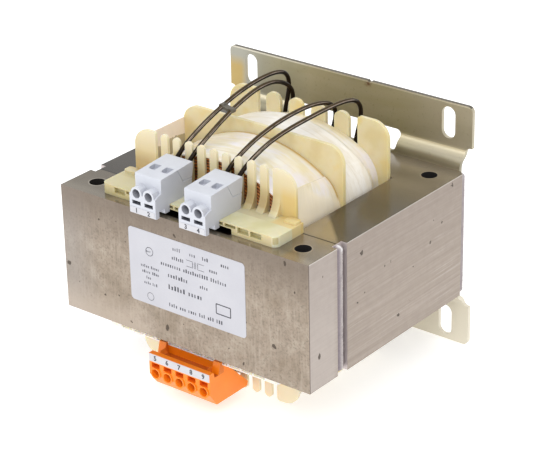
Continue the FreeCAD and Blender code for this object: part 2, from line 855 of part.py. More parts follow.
def lead_path(route):
    """Straight runs joined by tangent arcs, each arc as large as its two runs allow."""
    spots = [V(x, at(depth), z) for x, depth, z in route]
    arcs = [(spots[0], None, spots[0])]
    radii = []
    for before, here, after in zip(spots, spots[1:], spots[2:]):
        towards = before - here
        away = after - here
        shorter = min(towards.Length, away.Length)
        turn = math.pi - towards.getAngle(away)
        radius = turn_share * shorter / math.tan(turn / 2)
        radii.append(radius)
        arcs.append(corner(before, here, after, radius))
    arcs.append((spots[-1], None, spots[-1]))
    edges = []
    for i, (start, middle, end) in enumerate(arcs):
        if middle is not None:
            edges.append(Part.Arc(start, middle, end).toShape())
        if i + 1 < len(arcs):
            edges.append(Part.LineSegment(end, arcs[i + 1][0]).toShape())
    return Part.Wire(edges), radii


def lead_tube(name, route):
    path, radii = lead_path(route)
    start = path.Edges[0]
    direction = start.tangentAt(start.FirstParameter)
    ring = Part.Wire(Part.makeCircle(lead_d / 2, path.Edges[0].Vertexes[0].Point, direction))
    tube = path.makePipeShell([ring], True, False)
    expected = math.pi * lead_d ** 2 / 4 * path.Length
    print(name, "length", round(path.Length, 1), "volume ratio",
          round(tube.Volume / expected, 4), "radii", [round(r, 1) for r in radii])
    return tube


def point_at(route, depth):
    """Place of a lead where its rising stretch passes a depth."""
    for (x0, d0, z0), (x1, d1, z1) in zip(route, route[1:]):
        if d0 <= depth <= d1:
            share = (depth - d0) / (d1 - d0)
            return x0 + share * (x1 - x0), z0 + share * (z1 - z0)
    return route[0][0], route[0][2]


def lead_tie():
    """Moulded tie that holds the two left leads side by side."""
    ends = [point_at(lead_route(name), tie_depth) for name in ("lead_1", "lead_2")]
    (x0, z0), (x1, z1) = ends
    radius = lead_d / 2 + tie_wall
    depths = (tie_depth - tie_length / 2, tie_depth + tie_length / 2)
    rings = [rod(radius, depths, x, z) for x, z in ends]
    points = [(x0, z0 - tie_web), (x1, z1 - tie_web), (x1, z1 + tie_web), (x0, z0 + tie_web)]
    bar = prism(outline(points, 0), "Y", at(depths[0]), tie_length)
    return joined(rings + [bar])


# Build and write every piece


def seated(shape, others):
    """A shape trimmed by the leads that pass through it."""
    return shape.cut(others)


def build():
    core = e_laminations()
    bar = i_laminations()
    bracket = mounting_bracket()
    spool = bobbin()
    carrier = terminal_carrier()
    front_bead = front_weld()
    rear_bead = rear_weld(core, bracket)
    pieces = {
        "e_laminations": core,
        "i_laminations": bar,
        "mounting_bracket": bracket,
        "weld_bead_front_right": front_bead,
        "weld_bead_front_left": mirrored(front_bead, V(1, 0, 0)),
        "weld_bead_rear_right": rear_bead,
        "weld_bead_rear_left": mirrored(rear_bead, V(1, 0, 0)),
        "bobbin": spool,
        "front_winding": front_winding(),
        "front_winding_wrap": front_winding_wrap(),
        "rear_winding": rear_winding(),
        "rear_winding_tape": rear_winding_tape(),
        "rear_winding_band": rear_winding_band(),
        "side_sheet_left": side_sheet_left(),
        "side_sheet_right": side_sheet_right(),
        "terminal_carrier_top": carrier,
        "terminal_carrier_bottom": mirrored(carrier, V(0, 0, 1)),
        "output_housing": output_housing(),
        "output_clamps": output_clamps(),
        "output_marker": output_marker(),
        "rating_label": rating_label(),
    }
    leads = {name: lead_tube(name, lead_route(name)) for name in lead_routes}
    pieces.update(leads)
    pieces["lead_tie"] = seated(lead_tie(), list(leads.values()))
    for name, x in zip(("left", "right"), input_x):
        pieces["input_housing_" + name] = seated(input_housing(x), list(leads.values()))
        pieces["input_clamps_" + name] = input_clamps(x)
        pieces["input_marker_" + name] = input_marker(x)
    return pieces


def main():
    os.makedirs("parts", exist_ok=True)
    for name, shape in build().items():
        print(name, shape.isValid(), len(shape.Solids), round(shape.Volume, 1))
        shape.exportStep(os.path.join("parts", name + ".step"))


main()
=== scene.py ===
import math
import random

import bmesh
import bpy
from mathutils import Matrix, Vector


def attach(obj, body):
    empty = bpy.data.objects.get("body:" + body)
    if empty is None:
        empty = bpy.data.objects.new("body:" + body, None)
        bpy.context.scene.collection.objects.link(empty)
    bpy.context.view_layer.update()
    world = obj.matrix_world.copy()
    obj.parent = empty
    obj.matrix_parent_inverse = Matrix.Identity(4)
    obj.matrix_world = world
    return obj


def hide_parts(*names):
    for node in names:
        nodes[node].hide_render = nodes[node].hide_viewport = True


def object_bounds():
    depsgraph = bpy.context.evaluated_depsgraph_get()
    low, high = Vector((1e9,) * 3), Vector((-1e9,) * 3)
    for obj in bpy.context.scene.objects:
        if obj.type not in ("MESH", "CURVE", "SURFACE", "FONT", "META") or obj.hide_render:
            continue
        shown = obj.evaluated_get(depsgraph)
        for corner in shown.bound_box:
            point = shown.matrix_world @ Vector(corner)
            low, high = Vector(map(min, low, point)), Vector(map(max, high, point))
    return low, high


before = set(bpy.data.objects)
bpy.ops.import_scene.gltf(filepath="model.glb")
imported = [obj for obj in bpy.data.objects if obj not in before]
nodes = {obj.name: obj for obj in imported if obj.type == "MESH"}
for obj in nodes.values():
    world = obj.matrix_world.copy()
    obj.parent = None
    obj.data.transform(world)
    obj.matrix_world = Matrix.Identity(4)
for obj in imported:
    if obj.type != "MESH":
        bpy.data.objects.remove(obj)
cad_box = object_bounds()

MM = 0.001
CORE_FRONT = -132.4     # front face of the core, in mm behind the mounting plane
STACK_TOP = 32.75       # top of the lamination stack
CORE_DEPTH = 125.0
JOINT = 25.0            # depth of the joint between the E and the I sheets
BOLT_X = 62.5           # bolt holes, left and right of the middle
BOLT_DEPTHS = (12.5, 112.5)
BOLT_R = 4.4            # the hole with its burred rim
POLE_PITCH = 7.5        # from pole to pole of a terminal
# where the film round the front coil ends, before the divider
WRAP_REAR = max(v.co.y for v in nodes["front_winding_wrap"].data.vertices) / MM


def at(depth):
    """The y of a depth in mm behind the front face of the core."""
    return CORE_FRONT + depth


# Colours and nodes


def linear(code):
    """Linear RGBA of an sRGB hex colour."""
    channels = [int(code[i:i + 2], 16) / 255 for i in (1, 3, 5)]
    return tuple(c / 12.92 if c <= 0.04045 else ((c + 0.055) / 1.055) ** 2.4
                 for c in channels) + (1.0,)


def put(tree, kind, inputs=(), out=0, stops=(), ease=False, **settings):
    """Adds a node with its settings and, on a colour ramp, its (place, tone) stops. Inputs, in
    order or by name, take values, hex colours or other nodes' outputs. Returns the output out,
    or all of them for None."""
    made = tree.nodes.new(kind if "Node" in kind else "ShaderNode" + kind)
    for name, value in settings.items():
        setattr(made, name, value)
    for key, value in inputs.items() if isinstance(inputs, dict) else enumerate(inputs):
        if isinstance(value, bpy.types.NodeSocket):
            tree.links.new(value, made.inputs[key])
        else:
            made.inputs[key].default_value = linear(value) if isinstance(value, str) else value
    if stops:
        made.color_ramp.interpolation = "EASE" if ease else "LINEAR"
        steps = made.color_ramp.elements
        while len(steps) < len(stops):
            steps.new(0.5)
        for step, (place, tone) in zip(steps, stops):
            step.position = place
            step.color = linear(tone) if isinstance(tone, str) else (tone, tone, tone, 1)
    return made.outputs if out is None else made.outputs[out]


def linked(name, data):
    """New object of this data, in the scene."""
    made = bpy.data.objects.new(name, data)
    bpy.context.scene.collection.objects.link(made)
    return made


def blank(name):
    """New material with an empty tree, and the object coordinates that its patterns read."""
    material = bpy.data.materials.new(name)
    material.use_nodes = True
    tree = material.node_tree
    tree.nodes.clear()
    return material, tree, put(tree, "TexCoord", out="Object")


def finish_surface(tree, **inputs):
    """Principled surface of a material; names with _ stand for the socket's words."""
    shader = put(tree, "BsdfPrincipled", {key.replace("_", " "): inputs[key] for key in inputs})
    put(tree, "OutputMaterial", {"Surface": shader}, out=None)


def blotches(tree, where, size, stretch=(1, 1, 1), detail=3.0, rough=0.55, distort=0.0):
    """Noise whose blotches are about size mm across, longer along the stretched axes."""
    place = put(tree, "Mapping", {"Vector": where, "Scale": [1 / s for s in stretch]})
    return put(tree, "TexNoise", {"Vector": place, "Scale": 1 / (size * MM), "Detail": detail,
                                  "Roughness": rough, "Distortion": distort}, out="Fac")


def product(tree, *factors):
    """Masks and shares multiplied with each other."""
    made = factors[0]
    for factor in factors[1:]:
        made = put(tree, "Math", (made, factor), operation="MULTIPLY")
    return made


def tinted(tree, colour, tone, *factors):
    """The colour turned towards a tone, as far as the product of the masks and shares says."""
    return put(tree, "Mix", {0: product(tree, *factors), 6: colour, 7: tone}, out=2,
               data_type="RGBA")


def flecked(tree, colour, tone, pattern, *stops):
    """The colour turned towards a tone by the shares that the stops give to a pattern."""
    return tinted(tree, colour, tone, put(tree, "ValToRGB", (pattern,), stops=stops))


def between(tree, value, low, high, soft):
    """1 between low and high, falling off over soft, all in mm."""
    rise, fall = [put(tree, "MapRange", {"Value": value, "From Min": (edge - lean) * MM,
                                         "From Max": (edge + lean) * MM})
                  for edge, lean in ((low, soft), (high, -soft))]
    return product(tree, rise, fall)


# Materials


def mottled(tree, where, size, *stops):
    """Tones of the stops in blotches of size mm."""
    return put(tree, "ValToRGB", (blotches(tree, where, size),), stops=stops)


def facing_of(tree):
    """Components of the direction that the surface faces."""
    return put(tree, "SeparateXYZ", (put(tree, "NewGeometry", out="Normal"),), out=None)


def zoned(tree, colour, where, zones):
    """The colour with zones in it. Each has a tone, a share and its ranges in x, in depth
    behind the core's front and in z, as low, high and softness in mm, or None for no limit."""
    for tone, share, *ranges in zones:
        masks = [share]
        for axis, band, shift in zip((0, 1, 2), ranges, (0, CORE_FRONT, 0)):
            if band:
                place = put(tree, "SeparateXYZ", (where,), out=axis)
                masks.append(between(tree, place, band[0] + shift, band[1] + shift, band[2]))
        colour = tinted(tree, colour, tone, *masks)
    return colour


def near_axes(tree, x, y, place_x, place_y):
    """Distance from the upright axes at +-place_x, place_y, in mm."""
    across = put(tree, "Math", (put(tree, "Math", (x,), operation="ABSOLUTE"), place_x * MM),
                 operation="SUBTRACT")
    along = put(tree, "Math", (y, place_y * MM), operation="SUBTRACT")
    squares = put(tree, "Math", (product(tree, across, across), product(tree, along, along)),
                  operation="ADD")
    return put(tree, "Math", (put(tree, "Math", (squares,), operation="SQRT"), MM),
               operation="DIVIDE")


def electrical_steel():
    """Silicon steel sheet: the lacquered flat of the top sheet is brown-grey and shiny, the
    ground front is mottled, stained and pitted, and the sides show the edge of each sheet."""
    material, tree, where = blank("silicon_steel_laminations")
    x, y = put(tree, "SeparateXYZ", (where,), out=None)[:2]
    facing = facing_of(tree)
    flat = put(tree, "Math", (put(tree, "Math", (facing[2],), operation="ABSOLUTE"), 0.7),
               operation="GREATER_THAN")
    side = put(tree, "Math", (put(tree, "Math", (facing[0],), operation="ABSOLUTE"), 0.7),
               operation="GREATER_THAN")
    upright = put(tree, "Math", (1.0, flat), operation="SUBTRACT")
    # sheets are 0.5 mm, drawn at about 1 mm so that the streaks still show
    sheets = blotches(tree, where, 1.0, stretch=(60, 60, 1), detail=2.0)
    brushed = blotches(tree, where, 1.3, stretch=(1, 1, 12), detail=2.0)
    mottle = blotches(tree, where, 5, detail=6.0, rough=0.7)
    speck = blotches(tree, where, 1.1, detail=2.0)
    stain = blotches(tree, where, 26, detail=4.0, distort=0.8)
    front = put(tree, "ValToRGB", (mottle,),
                stops=[(0.32, "#8f8374"), (0.5, "#a29485"), (0.68, "#b1a697")])
    front = flecked(tree, front, "#74695c", speck, (0.5, 0.0), (0.72, 0.6))
    front = flecked(tree, front, "#b7ab9d", brushed, (0.5, 0.0), (0.7, 0.45))
    front = flecked(tree, front, "#867764", stain, (0.5, 0.0), (0.7, 0.5))
    # painted light at the lower left of the front, and painted shade towards its top
    front = zoned(tree, front, where, (
        ("#a29c98", 0.5, (-90, -60, 9), None, None),
        ("#c0b2a4", 0.6, (-90, -22, 8), None, (-60, -22, 7)),
        ("#776b60", 0.72, None, None, (18, 60, 11))))
    edge = put(tree, "ValToRGB", (sheets,),
               stops=[(0.3, "#9f9388"), (0.5, "#a5998e"), (0.7, "#aca096")])
    line = blotches(tree, where, 0.9, stretch=(45, 45, 1), detail=1.0)
    edge = flecked(tree, edge, "#857a75", line, (0.62, 0.0), (0.68, 0.22))
    edge = flecked(tree, edge, "#cdc4bd", line, (0.27, 0.3), (0.31, 0.0))
    edge = flecked(tree, edge, "#a0958e", mottle, (0.45, 0.0), (0.75, 0.35))
    # on the sides: a painted highlight along the top edge and a painted shade line down the front
    # corner
    edge = zoned(tree, edge, where, (
        ("#c4bcb8", 0.45, None, (-9, 21, 3), None),
        ("#93877f", 0.35, None, None, (8, 60, 20)),
        ("#f2eee8", 0.6, None, None, (32.5, 34, 0.1)),
        ("#554b46", 1.0, None, (-2, 0.4, 0.2), None)))
    spots = put(tree, "TexVoronoi", {"Vector": where, "Scale": 1 / (7.5 * MM)})
    reach = put(tree, "Math", (blotches(tree, where, 6), 1.0, -0.44), operation="MULTIPLY_ADD")
    reach = put(tree, "Math", (reach, product(tree, side, 0.05)), operation="SUBTRACT")
    pit = put(tree, "Math", (spots, reach), operation="LESS_THAN")
    cut = tinted(tree, front, edge, side)
    cut = tinted(tree, cut, "#4a4037", pit, 0.85)
    cloud = blotches(tree, where, 30, stretch=(3, 1, 1))
    sheet = put(tree, "ValToRGB", (cloud,), stops=[(0.35, "#7f7565"), (0.65, "#978d7d")])
    sheet = flecked(tree, sheet, "#6f675b", mottle, (0.55, 0.0), (0.75, 0.35))
    # painted reflections of the parts above: bright at both ends, darker on the left and behind
    # the slanted line on the right
    bright = put(tree, "Math", (between(tree, y, at(-9), at(5), 2),
                                between(tree, y, at(112), at(140), 6)), operation="MAXIMUM")
    sheet = tinted(tree, sheet, "#b5ab9b", bright, 0.45)
    slant = between(tree, put(tree, "Math", (x, y), operation="ADD"), at(98), at(400), 1.2)
    right = product(tree, slant, between(tree, y, at(16), at(84), 12))
    right = product(tree, right, between(tree, x, 48, 90, 1))
    sheet = tinted(tree, sheet, "#4f4839", right, 0.78)
    # a beige painted reflection on the right, in front of the slanted line
    beige = product(tree, between(tree, x, 48, 70, 2), between(tree, y, at(25), at(46), 4))
    beige = product(tree, beige, put(tree, "Math", (1.0, slant), operation="SUBTRACT"))
    sheet = tinted(tree, sheet, "#b5a685", beige, 0.6)
    limb = put(tree, "Math", (between(tree, y, at(25.2), at(140), 0.2), 0.38, 0.42),
               operation="MULTIPLY_ADD")
    left = product(tree, between(tree, x, -90, -44, 3), limb)
    sheet = tinted(tree, sheet, "#2b2a2a", left)
    # the joint of the sheets, and the shade under the upper carrier
    sheet = zoned(tree, sheet, where, (
        ("#241e19", 1.0, None, (JOINT - 0.4, JOINT + 0.4, 0.15), None),
        ("#0c0a08", 1.0, (-31, 27, 0.6), (3.5, 21, 0.6), None)))
    # a painted highlight on each bolt hole's burred rim
    holes = []
    for depth in BOLT_DEPTHS:
        away = near_axes(tree, x, y, BOLT_X, at(depth))
        rim = put(tree, "Math", (away, BOLT_R - 0.1, 0.3), operation="COMPARE")
        sheet = tinted(tree, sheet, "#d6cdbf", rim, 0.25)
        holes.append(put(tree, "Math", (away, BOLT_R), operation="LESS_THAN"))
    # painted shade inside the bolt holes: dark, matt and not metallic
    bore = product(tree, put(tree, "Math", (holes[0], holes[1]), operation="MAXIMUM"), upright)
    # the walls of the weld grooves: heat-tinted, and painted lighter against their shade
    wide = put(tree, "Math", (x,), operation="ABSOLUTE")
    inside = product(tree, put(tree, "Math", (wide, 74.9 * MM), operation="LESS_THAN"),
                     put(tree, "Math", (wide, 70 * MM), operation="GREATER_THAN"))
    groove = product(tree, inside, between(tree, y, at(JOINT - 4), at(JOINT + 4), 0.2))
    groove = product(tree, groove, upright)
    cut = tinted(tree, cut, "#d2c9c8", groove, 0.9)
    colour = tinted(tree, tinted(tree, cut, sheet, flat), "#120e0b", bore)
    dull = put(tree, "ValToRGB", (mottle,), stops=[(0.3, 0.42), (0.7, 0.58)])
    gloss = mottled(tree, where, 12, (0.3, 0.16), (0.7, 0.26))
    rough = tinted(tree, tinted(tree, dull, gloss, flat), (0.9, 0.9, 0.9, 1), bore)
    metal = product(tree, put(tree, "Math", (1.0, bore), operation="SUBTRACT"), 0.72)
    lines = product(tree, sheets, side)
    low = put(tree, "Bump", {"Height": lines, "Distance": 0.06 * MM, "Strength": 0.6})
    low = put(tree, "Bump", {"Height": product(tree, mottle, upright), "Distance": 0.1 * MM,
                             "Strength": 0.5, "Normal": low})
    low = put(tree, "Bump", {"Height": put(tree, "Math", (1.0, pit), operation="SUBTRACT"),
                             "Distance": 0.12 * MM, "Strength": 0.6, "Normal": low})
    finish_surface(tree, Base_Color=colour, Metallic=metal, Roughness=rough, Normal=low)
    return material


def weld_metal():
    """Welded seam: a faintly rippled ridge, painted highlights along its crest and top, dark heat
    tint on both flanks.
    """
    material, tree, where = blank("weld_metal")
    y, z = put(tree, "SeparateXYZ", (where,), out=None)[1:]
    tint = blotches(tree, where, 3, stretch=(1, 1, 2))
    colour = put(tree, "ValToRGB", (tint,),
                 stops=[(0.3, "#a49c9b"), (0.55, "#beb7b4"), (0.75, "#aaa09a")])
    # painted highlight along the crest of the bead, brighter near its upper end
    ridge = between(tree, y, at(JOINT - 0.7), at(JOINT + 1.4), 0.9)
    rear = between(tree, y, at(121), at(128), 0.2)
    ridge = put(tree, "Math", (ridge, product(tree, rear, 0.45)), operation="MAXIMUM")
    top_highlight = product(tree, ridge, between(tree, z, 29.5, 40, 1.2))
    colour = tinted(tree, "#8a8085", tinted(tree, colour, "#e9e7e6", top_highlight), ridge)
    rough = mottled(tree, where, 1.5, (0.3, 0.4), (0.7, 0.55))
    finish_surface(tree, Base_Color=colour, Metallic=0.6, Roughness=rough,
                   Normal=put(tree, "Bump", {"Height": tint, "Distance": 0.12 * MM,
                                             "Strength": 0.4}))
    return material


def passivated_zinc():
    """Yellow passivated zinc on rolled sheet: a beige-olive skin with brown and green tints, worn
    to blue-grey near one end, with an amber patch and a rust spot at the nick."""
    material, tree, where = blank("passivated_zinc_sheet")
    x, y, z = put(tree, "SeparateXYZ", (where,), out=None)
    cloud = blotches(tree, where, 26, stretch=(2.4, 1, 1), detail=3.0, distort=0.8)
    colour = put(tree, "ValToRGB", (cloud,),
                 stops=[(0.28, "#9f946f"), (0.42, "#ada480"), (0.56, "#b7ae8d"),
                        (0.74, "#beb59c")], ease=True)
    streak = blotches(tree, where, 1.6, stretch=(26, 26, 1))
    colour = tinted(tree, colour, "#beb8a4", streak, 0.25)
    speck = blotches(tree, where, 1.4, detail=3.0)
    colour = flecked(tree, colour, "#7c6f55", speck, (0.62, 0.0), (0.76, 0.5))
    # worn end, dim band beside it, pale other end, lower flange painted pale for the light from
    # below, amber patch
    colour = zoned(tree, colour, where, (
        ("#a3a39b", 0.8, (-90, -52, 8), None, None),
        ("#7f7960", 0.5, (-60, -30, 7), None, None),
        ("#b9b2a6", 0.45, (44, 90, 12), None, None),
        ("#e6dfcd", 0.85, None, None, (-80, -36, 2)),
        ("#bd9f54", 0.8, (-76, -66, 2), None, (40, 57, 3))))
    rust = product(tree, between(tree, x, 11.5, 14.6, 1.1), between(tree, z, 61.8, 67, 1.1))
    rust = product(tree, rust, put(tree, "ValToRGB", (speck,), stops=[(0.4, 0.3), (0.55, 1.0)]))
    colour = tinted(tree, colour, "#6e3f2c", rust)
    facing = facing_of(tree)
    # painted shade at the foot of the bend in the neck, and a painted highlight on its crest
    neck = product(tree, between(tree, z, 32.5, 37.5, 1.4),
                   put(tree, "Math", (facing[1], 0.2), operation="LESS_THAN"))
    colour = tinted(tree, colour, "#665f4c", neck, 0.5)
    crest = product(tree, between(tree, z, 39.5, 43, 1.2),
                    put(tree, "Math", (facing[2], 0.3), operation="GREATER_THAN"))
    colour = tinted(tree, colour, "#efe4c4", crest, 0.6)
    # a painted highlight along the top edge, and its upward cut face darker
    rim = between(tree, z, 63.8, 70, 0.15)
    cut = put(tree, "Math", (facing[2], 0.7), operation="GREATER_THAN")
    colour = tinted(tree, colour, "#e4decb", rim, 0.7)
    colour = tinted(tree, colour, "#5d574a", rim, cut)
    rough = put(tree, "ValToRGB", (cloud,), stops=[(0.3, 0.32), (0.7, 0.44)])
    lower = between(tree, z, -80, -36, 2)
    metal = put(tree, "Math", (0.65, product(tree, lower, 0.4)), operation="SUBTRACT")
    finish_surface(tree, Base_Color=colour, Metallic=metal, Roughness=rough,
                   Normal=put(tree, "Bump", {"Height": streak, "Distance": 0.04 * MM,
                                             "Strength": 0.4}))
    return material


def moulded_nylon(name, pale, deep, glow):
    """Natural glass-filled nylon: cream, semi-matt, and faintly see-through where it is thin."""
    material, tree, where = blank(name)
    cloud = blotches(tree, where, 14, detail=3.0)
    colour = put(tree, "ValToRGB", (cloud,), stops=[(0.3, deep), (0.55, pale), (0.75, glow)],
                 ease=True)
    grain = blotches(tree, where, 0.8)
    # thin outer edges let more light through
    x = put(tree, "SeparateXYZ", (where,), out=0)
    edge = product(tree, between(tree, put(tree, "Math", (x,), operation="ABSOLUTE"), 45.5, 60,
                                 2.0), 0.5)
    colour = tinted(tree, colour, glow, edge)
    flange = (17, 27.5, 0.2)
    lower = (-90, -32.5, 0.1)
    colour = zoned(tree, colour, where, (
        # painted shade on the front faces of the carrier and of the flange
        ("#d2bf90", 0.75, None, (0, 5.1, 0.05), None),
        ("#d2bf90", 0.75, None, (23.4, 26.0, 0.2), None),
        # front flange: painted light at its thin tips, painted shade near the rail, a painted
        # amber glow at its right edge
        ("#ebe2cd", 0.6, None, flange, (54, 80, 6)),
        ("#a58957", 0.55, (-60, 36, 3), flange, (37.9, 47, 3)),
        ("#dcba62", 0.5, (40.5, 60, 1.2), flange, (20, 51, 3)),
        # painted shade in the pockets, the left part of the upper carrier, and painted light from
        # below on all of the lower one and its front
        ("#a8985a", 0.6, None, (5.2, 7.2, 0.1), (34.2, 37.5, 0.1)),
        ("#b4a878", 0.6, (-90, -26, 8), (-9, 20, 0.3), None),
        ("#efe4ca", 0.85, None, None, lower),
        ("#fffdf6", 0.85, None, (0, 9, 0.5), lower),
        # painted shade in the space under the carrier, between the terminals
        ("#0d0b08", 1.0, (-31, 27, 0.2), (4, 21.2, 0.2), (0, 35.3, 0.1))))
    finish_surface(tree, Base_Color=colour, Roughness=0.38,
                   Normal=put(tree, "Bump", {"Height": grain, "Distance": 0.02 * MM,
                                             "Strength": 0.5}), Subsurface_Weight=0.35,
                   Subsurface_Radius=(0.005, 0.0035, 0.0014), Subsurface_Scale=1.0, IOR=1.53)
    return material


def creases(tree, where, size):
    """Thin folds of a film, 1 on the fold and 0 between folds about size mm apart."""
    bent = blotches(tree, where, size * 1.5, detail=2.0)
    shift = put(tree, "VectorMath", {0: (0.02, 0.012, 0.02), 3: bent}, operation="SCALE")
    place = put(tree, "VectorMath", (where, shift))
    cells = put(tree, "TexVoronoi", {"Vector": place, "Scale": 1 / (size * MM)},
                feature="DISTANCE_TO_EDGE")
    lines = put(tree, "ValToRGB", (cells,), stops=[(0.0, 1.0), (0.05, 0.25), (0.16, 0.0)])
    faint = mottled(tree, where, size * 2, (0.42, 0.0), (0.62, 1.0))
    return product(tree, lines, faint)


def polyester_film():
    """Polyester insulating film: glossy, warm white, cockled, with white creases that catch the
    light and a yellow cast where it lies over the copper."""
    material, tree, where = blank("polyester_film")
    x, y, z = put(tree, "SeparateXYZ", (where,), out=None)
    cockle = blotches(tree, where, 9, stretch=(2.5, 1, 2.5), detail=2.0)
    glint = blotches(tree, where, 3.4, stretch=(7, 1, 7), detail=2.0, distort=0.5)
    fold = creases(tree, where, 24)
    colour = put(tree, "ValToRGB", (cockle,),
                 stops=[(0.28, "#eadcb4"), (0.5, "#f5e9ce"), (0.74, "#fbf5e8")])
    # painted glints along the winding, with painted shade between them
    colour = flecked(tree, colour, "#f8f2f2", glint, (0.52, 0.0), (0.66, 0.6))
    colour = flecked(tree, colour, "#e0cb98", glint, (0.32, 0.45), (0.44, 0.0))
    haze = blotches(tree, where, 22, distort=0.6)
    colour = flecked(tree, colour, "#f3ecf2", haze, (0.46, 0.0), (0.62, 0.7))
    colour = tinted(tree, colour, "#fbf8f2", fold, 0.2)
    upright = between(tree, put(tree, "Math", (x,), operation="ABSOLUTE"), 46, 90, 0.4)
    colour = tinted(tree, colour, "#fff0d2", upright, 0.9)
    rosy = product(tree, between(tree, x, -90, -46, 0.4), 0.7)
    colour = tinted(tree, colour, "#f0dfd8", rosy)
    # adhesive that shows through the left sheet, with a torn upper edge
    torn = put(tree, "Math", (blotches(tree, where, 3.5), 9 * MM, z), operation="MULTIPLY_ADD")
    glue = product(tree, between(tree, y, at(40), at(70), 1.5), between(tree, torn, 0, 50.0, 0.3))
    glue = product(tree, glue, between(tree, x, -90, -46, 0.4))
    colour = tinted(tree, colour, "#9d9274", glue, 0.8)
    # a darker yellow line painted for the shaded gap where the wrap ends at the divider
    slot = between(tree, y, WRAP_REAR - 1.3, WRAP_REAR + 0.4, 0.5)
    slot = product(tree, slot, put(tree, "Math", (1.0, upright), operation="SUBTRACT"))
    colour = tinted(tree, colour, "#c9a04a", slot, 0.85)
    low = put(tree, "Bump", {"Height": cockle, "Distance": 0.7 * MM, "Strength": 0.6})
    low = put(tree, "Bump", {"Height": glint, "Distance": 0.25 * MM, "Strength": 0.7,
                             "Normal": low})
    finish_surface(tree, Base_Color=colour, Roughness=0.2, IOR=1.57,
                   Normal=put(tree, "Bump", {"Height": fold, "Distance": 0.12 * MM,
                                             "Strength": 0.4, "Normal": low}),
                   Subsurface_Weight=0.2, Subsurface_Radius=(0.004, 0.003, 0.0016),
                   Subsurface_Scale=1.0)
    return material


def crepe_tape():
    """White insulating tape wound over the second coil: soft sheen, fine wrinkles across the
    winding direction and faint overlap lines."""
    material, tree, where = blank("insulating_tape")
    cockle = blotches(tree, where, 6, stretch=(3, 1, 3), detail=3.0)
    wrinkle = blotches(tree, where, 1.8, stretch=(6, 0.8, 2), detail=3.0, distort=0.5)
    fold = creases(tree, where, 18)
    y = put(tree, "SeparateXYZ", (where,), out=1)
    steps = put(tree, "Math", (put(tree, "Math", (y, 9.3 * MM), operation="DIVIDE"),),
                operation="FRACT")
    overlap = put(tree, "ValToRGB", (steps,),
                  stops=[(0.0, 1.0), (0.04, 0.2), (0.96, 0.0), (1.0, 1.0)])
    colour = put(tree, "ValToRGB", (cockle,),
                 stops=[(0.3, "#e6dcc6"), (0.5, "#efe9dd"), (0.7, "#f6f2ea")])
    # painted shade in the wrinkles, and painted highlights on the folds
    colour = flecked(tree, colour, "#d6cab2", wrinkle, (0.5, 0.0), (0.72, 0.35))
    colour = tinted(tree, colour, "#bfae8c", overlap, 0.25)
    colour = tinted(tree, colour, "#fcfaf6", fold, 0.3)
    low = put(tree, "Bump", {"Height": cockle, "Distance": 0.5 * MM, "Strength": 0.6})
    low = put(tree, "Bump", {"Height": wrinkle, "Distance": 0.2 * MM, "Strength": 0.6,
                             "Normal": low})
    finish_surface(tree, Base_Color=colour, Roughness=0.28, IOR=1.5,
                   Normal=put(tree, "Bump", {"Height": overlap, "Distance": 0.08 * MM,
                                             "Strength": 0.4, "Normal": low}))
    return material


def moulded_plastic(name, pale, deep, rough, wells):
    """Moulded polyamide of the terminals: even colour, semi-matt, with a fine eroded grain, and
    painted light and shade in the wells: the wire entries, and the boxes given as ranges in mm."""
    material, tree, where = blank(name)
    x, y, z = put(tree, "SeparateXYZ", (where,), out=None)
    cloud = blotches(tree, where, 9)
    colour = put(tree, "ValToRGB", (cloud,), stops=[(0.3, deep), (0.7, pale)])
    across = None
    for pole in wells["poles"]:
        gap = put(tree, "Math", (put(tree, "Math", (x, pole * MM), operation="SUBTRACT"),),
                  operation="ABSOLUTE")
        across = gap if across is None else put(tree, "Math", (across, gap), operation="MINIMUM")
    rise = put(tree, "Math", (z, wells["entry_z"] * MM), operation="SUBTRACT")
    away = put(tree, "Math", (put(tree, "Math",
                                  (product(tree, across, across), product(tree, rise, rise)),
                                  operation="ADD"),), operation="SQRT")
    entry = product(tree, put(tree, "Math", (away, 2.35 * MM), operation="LESS_THAN"),
                    between(tree, y, at(-4.6), at(12), 0.2))
    # the painted tone of an entry grows towards its roof
    lift = put(tree, "MapRange", {"Value": rise, "From Min": -2 * MM, "From Max": 2 * MM,
                                  "To Min": 0.45})
    entry = product(tree, entry, lift)
    colour = tinted(tree, colour, wells["entry_tone"], entry, wells["entry_share"])
    for half, depths, heights, share, tone in wells["boxes"]:
        box = product(tree, put(tree, "Math", (across, half * MM), operation="LESS_THAN"),
                      between(tree, y, at(depths[0]), at(depths[1]), 0.15))
        box = product(tree, box, between(tree, z, *heights, 0.15))
        # painted shade in a top recess grows towards its +x side
        if heights[0] > STACK_TOP + 10:
            step = put(tree, "Math", (put(tree, "Math", (x, wells["poles"][0] * MM),
                                          operation="SUBTRACT"), POLE_PITCH * MM),
                       operation="DIVIDE")
            step = put(tree, "Math", (put(tree, "Math", (step, 0.5), operation="ADD"),),
                       operation="FRACT")
            box = product(tree, box, put(tree, "ValToRGB", (step,),
                                         stops=[(0.22, 0.1), (0.75, 1.0)]))
        colour = tinted(tree, colour, tone, box, share)
    # painted shade on faces towards +x, and a painted tone on the lit front faces
    facing = facing_of(tree)
    shade = product(tree, put(tree, "Math", (facing[0], 0.7), operation="GREATER_THAN"), 0.4)
    colour = tinted(tree, colour, wells["shade"], shade)
    ahead = product(tree, put(tree, "Math", (facing[1], -0.7), operation="LESS_THAN"), 0.7)
    colour = tinted(tree, colour, wells["ahead"], ahead)
    grain = blotches(tree, where, 0.6)
    finish_surface(tree, Base_Color=colour, Roughness=rough, IOR=1.53,
                   Normal=put(tree, "Bump", {"Height": grain, "Distance": 0.015 * MM,
                                             "Strength": 0.5}), Subsurface_Weight=0.08,
                   Subsurface_Radius=(0.002, 0.002, 0.002), Subsurface_Scale=1.0)
    return material


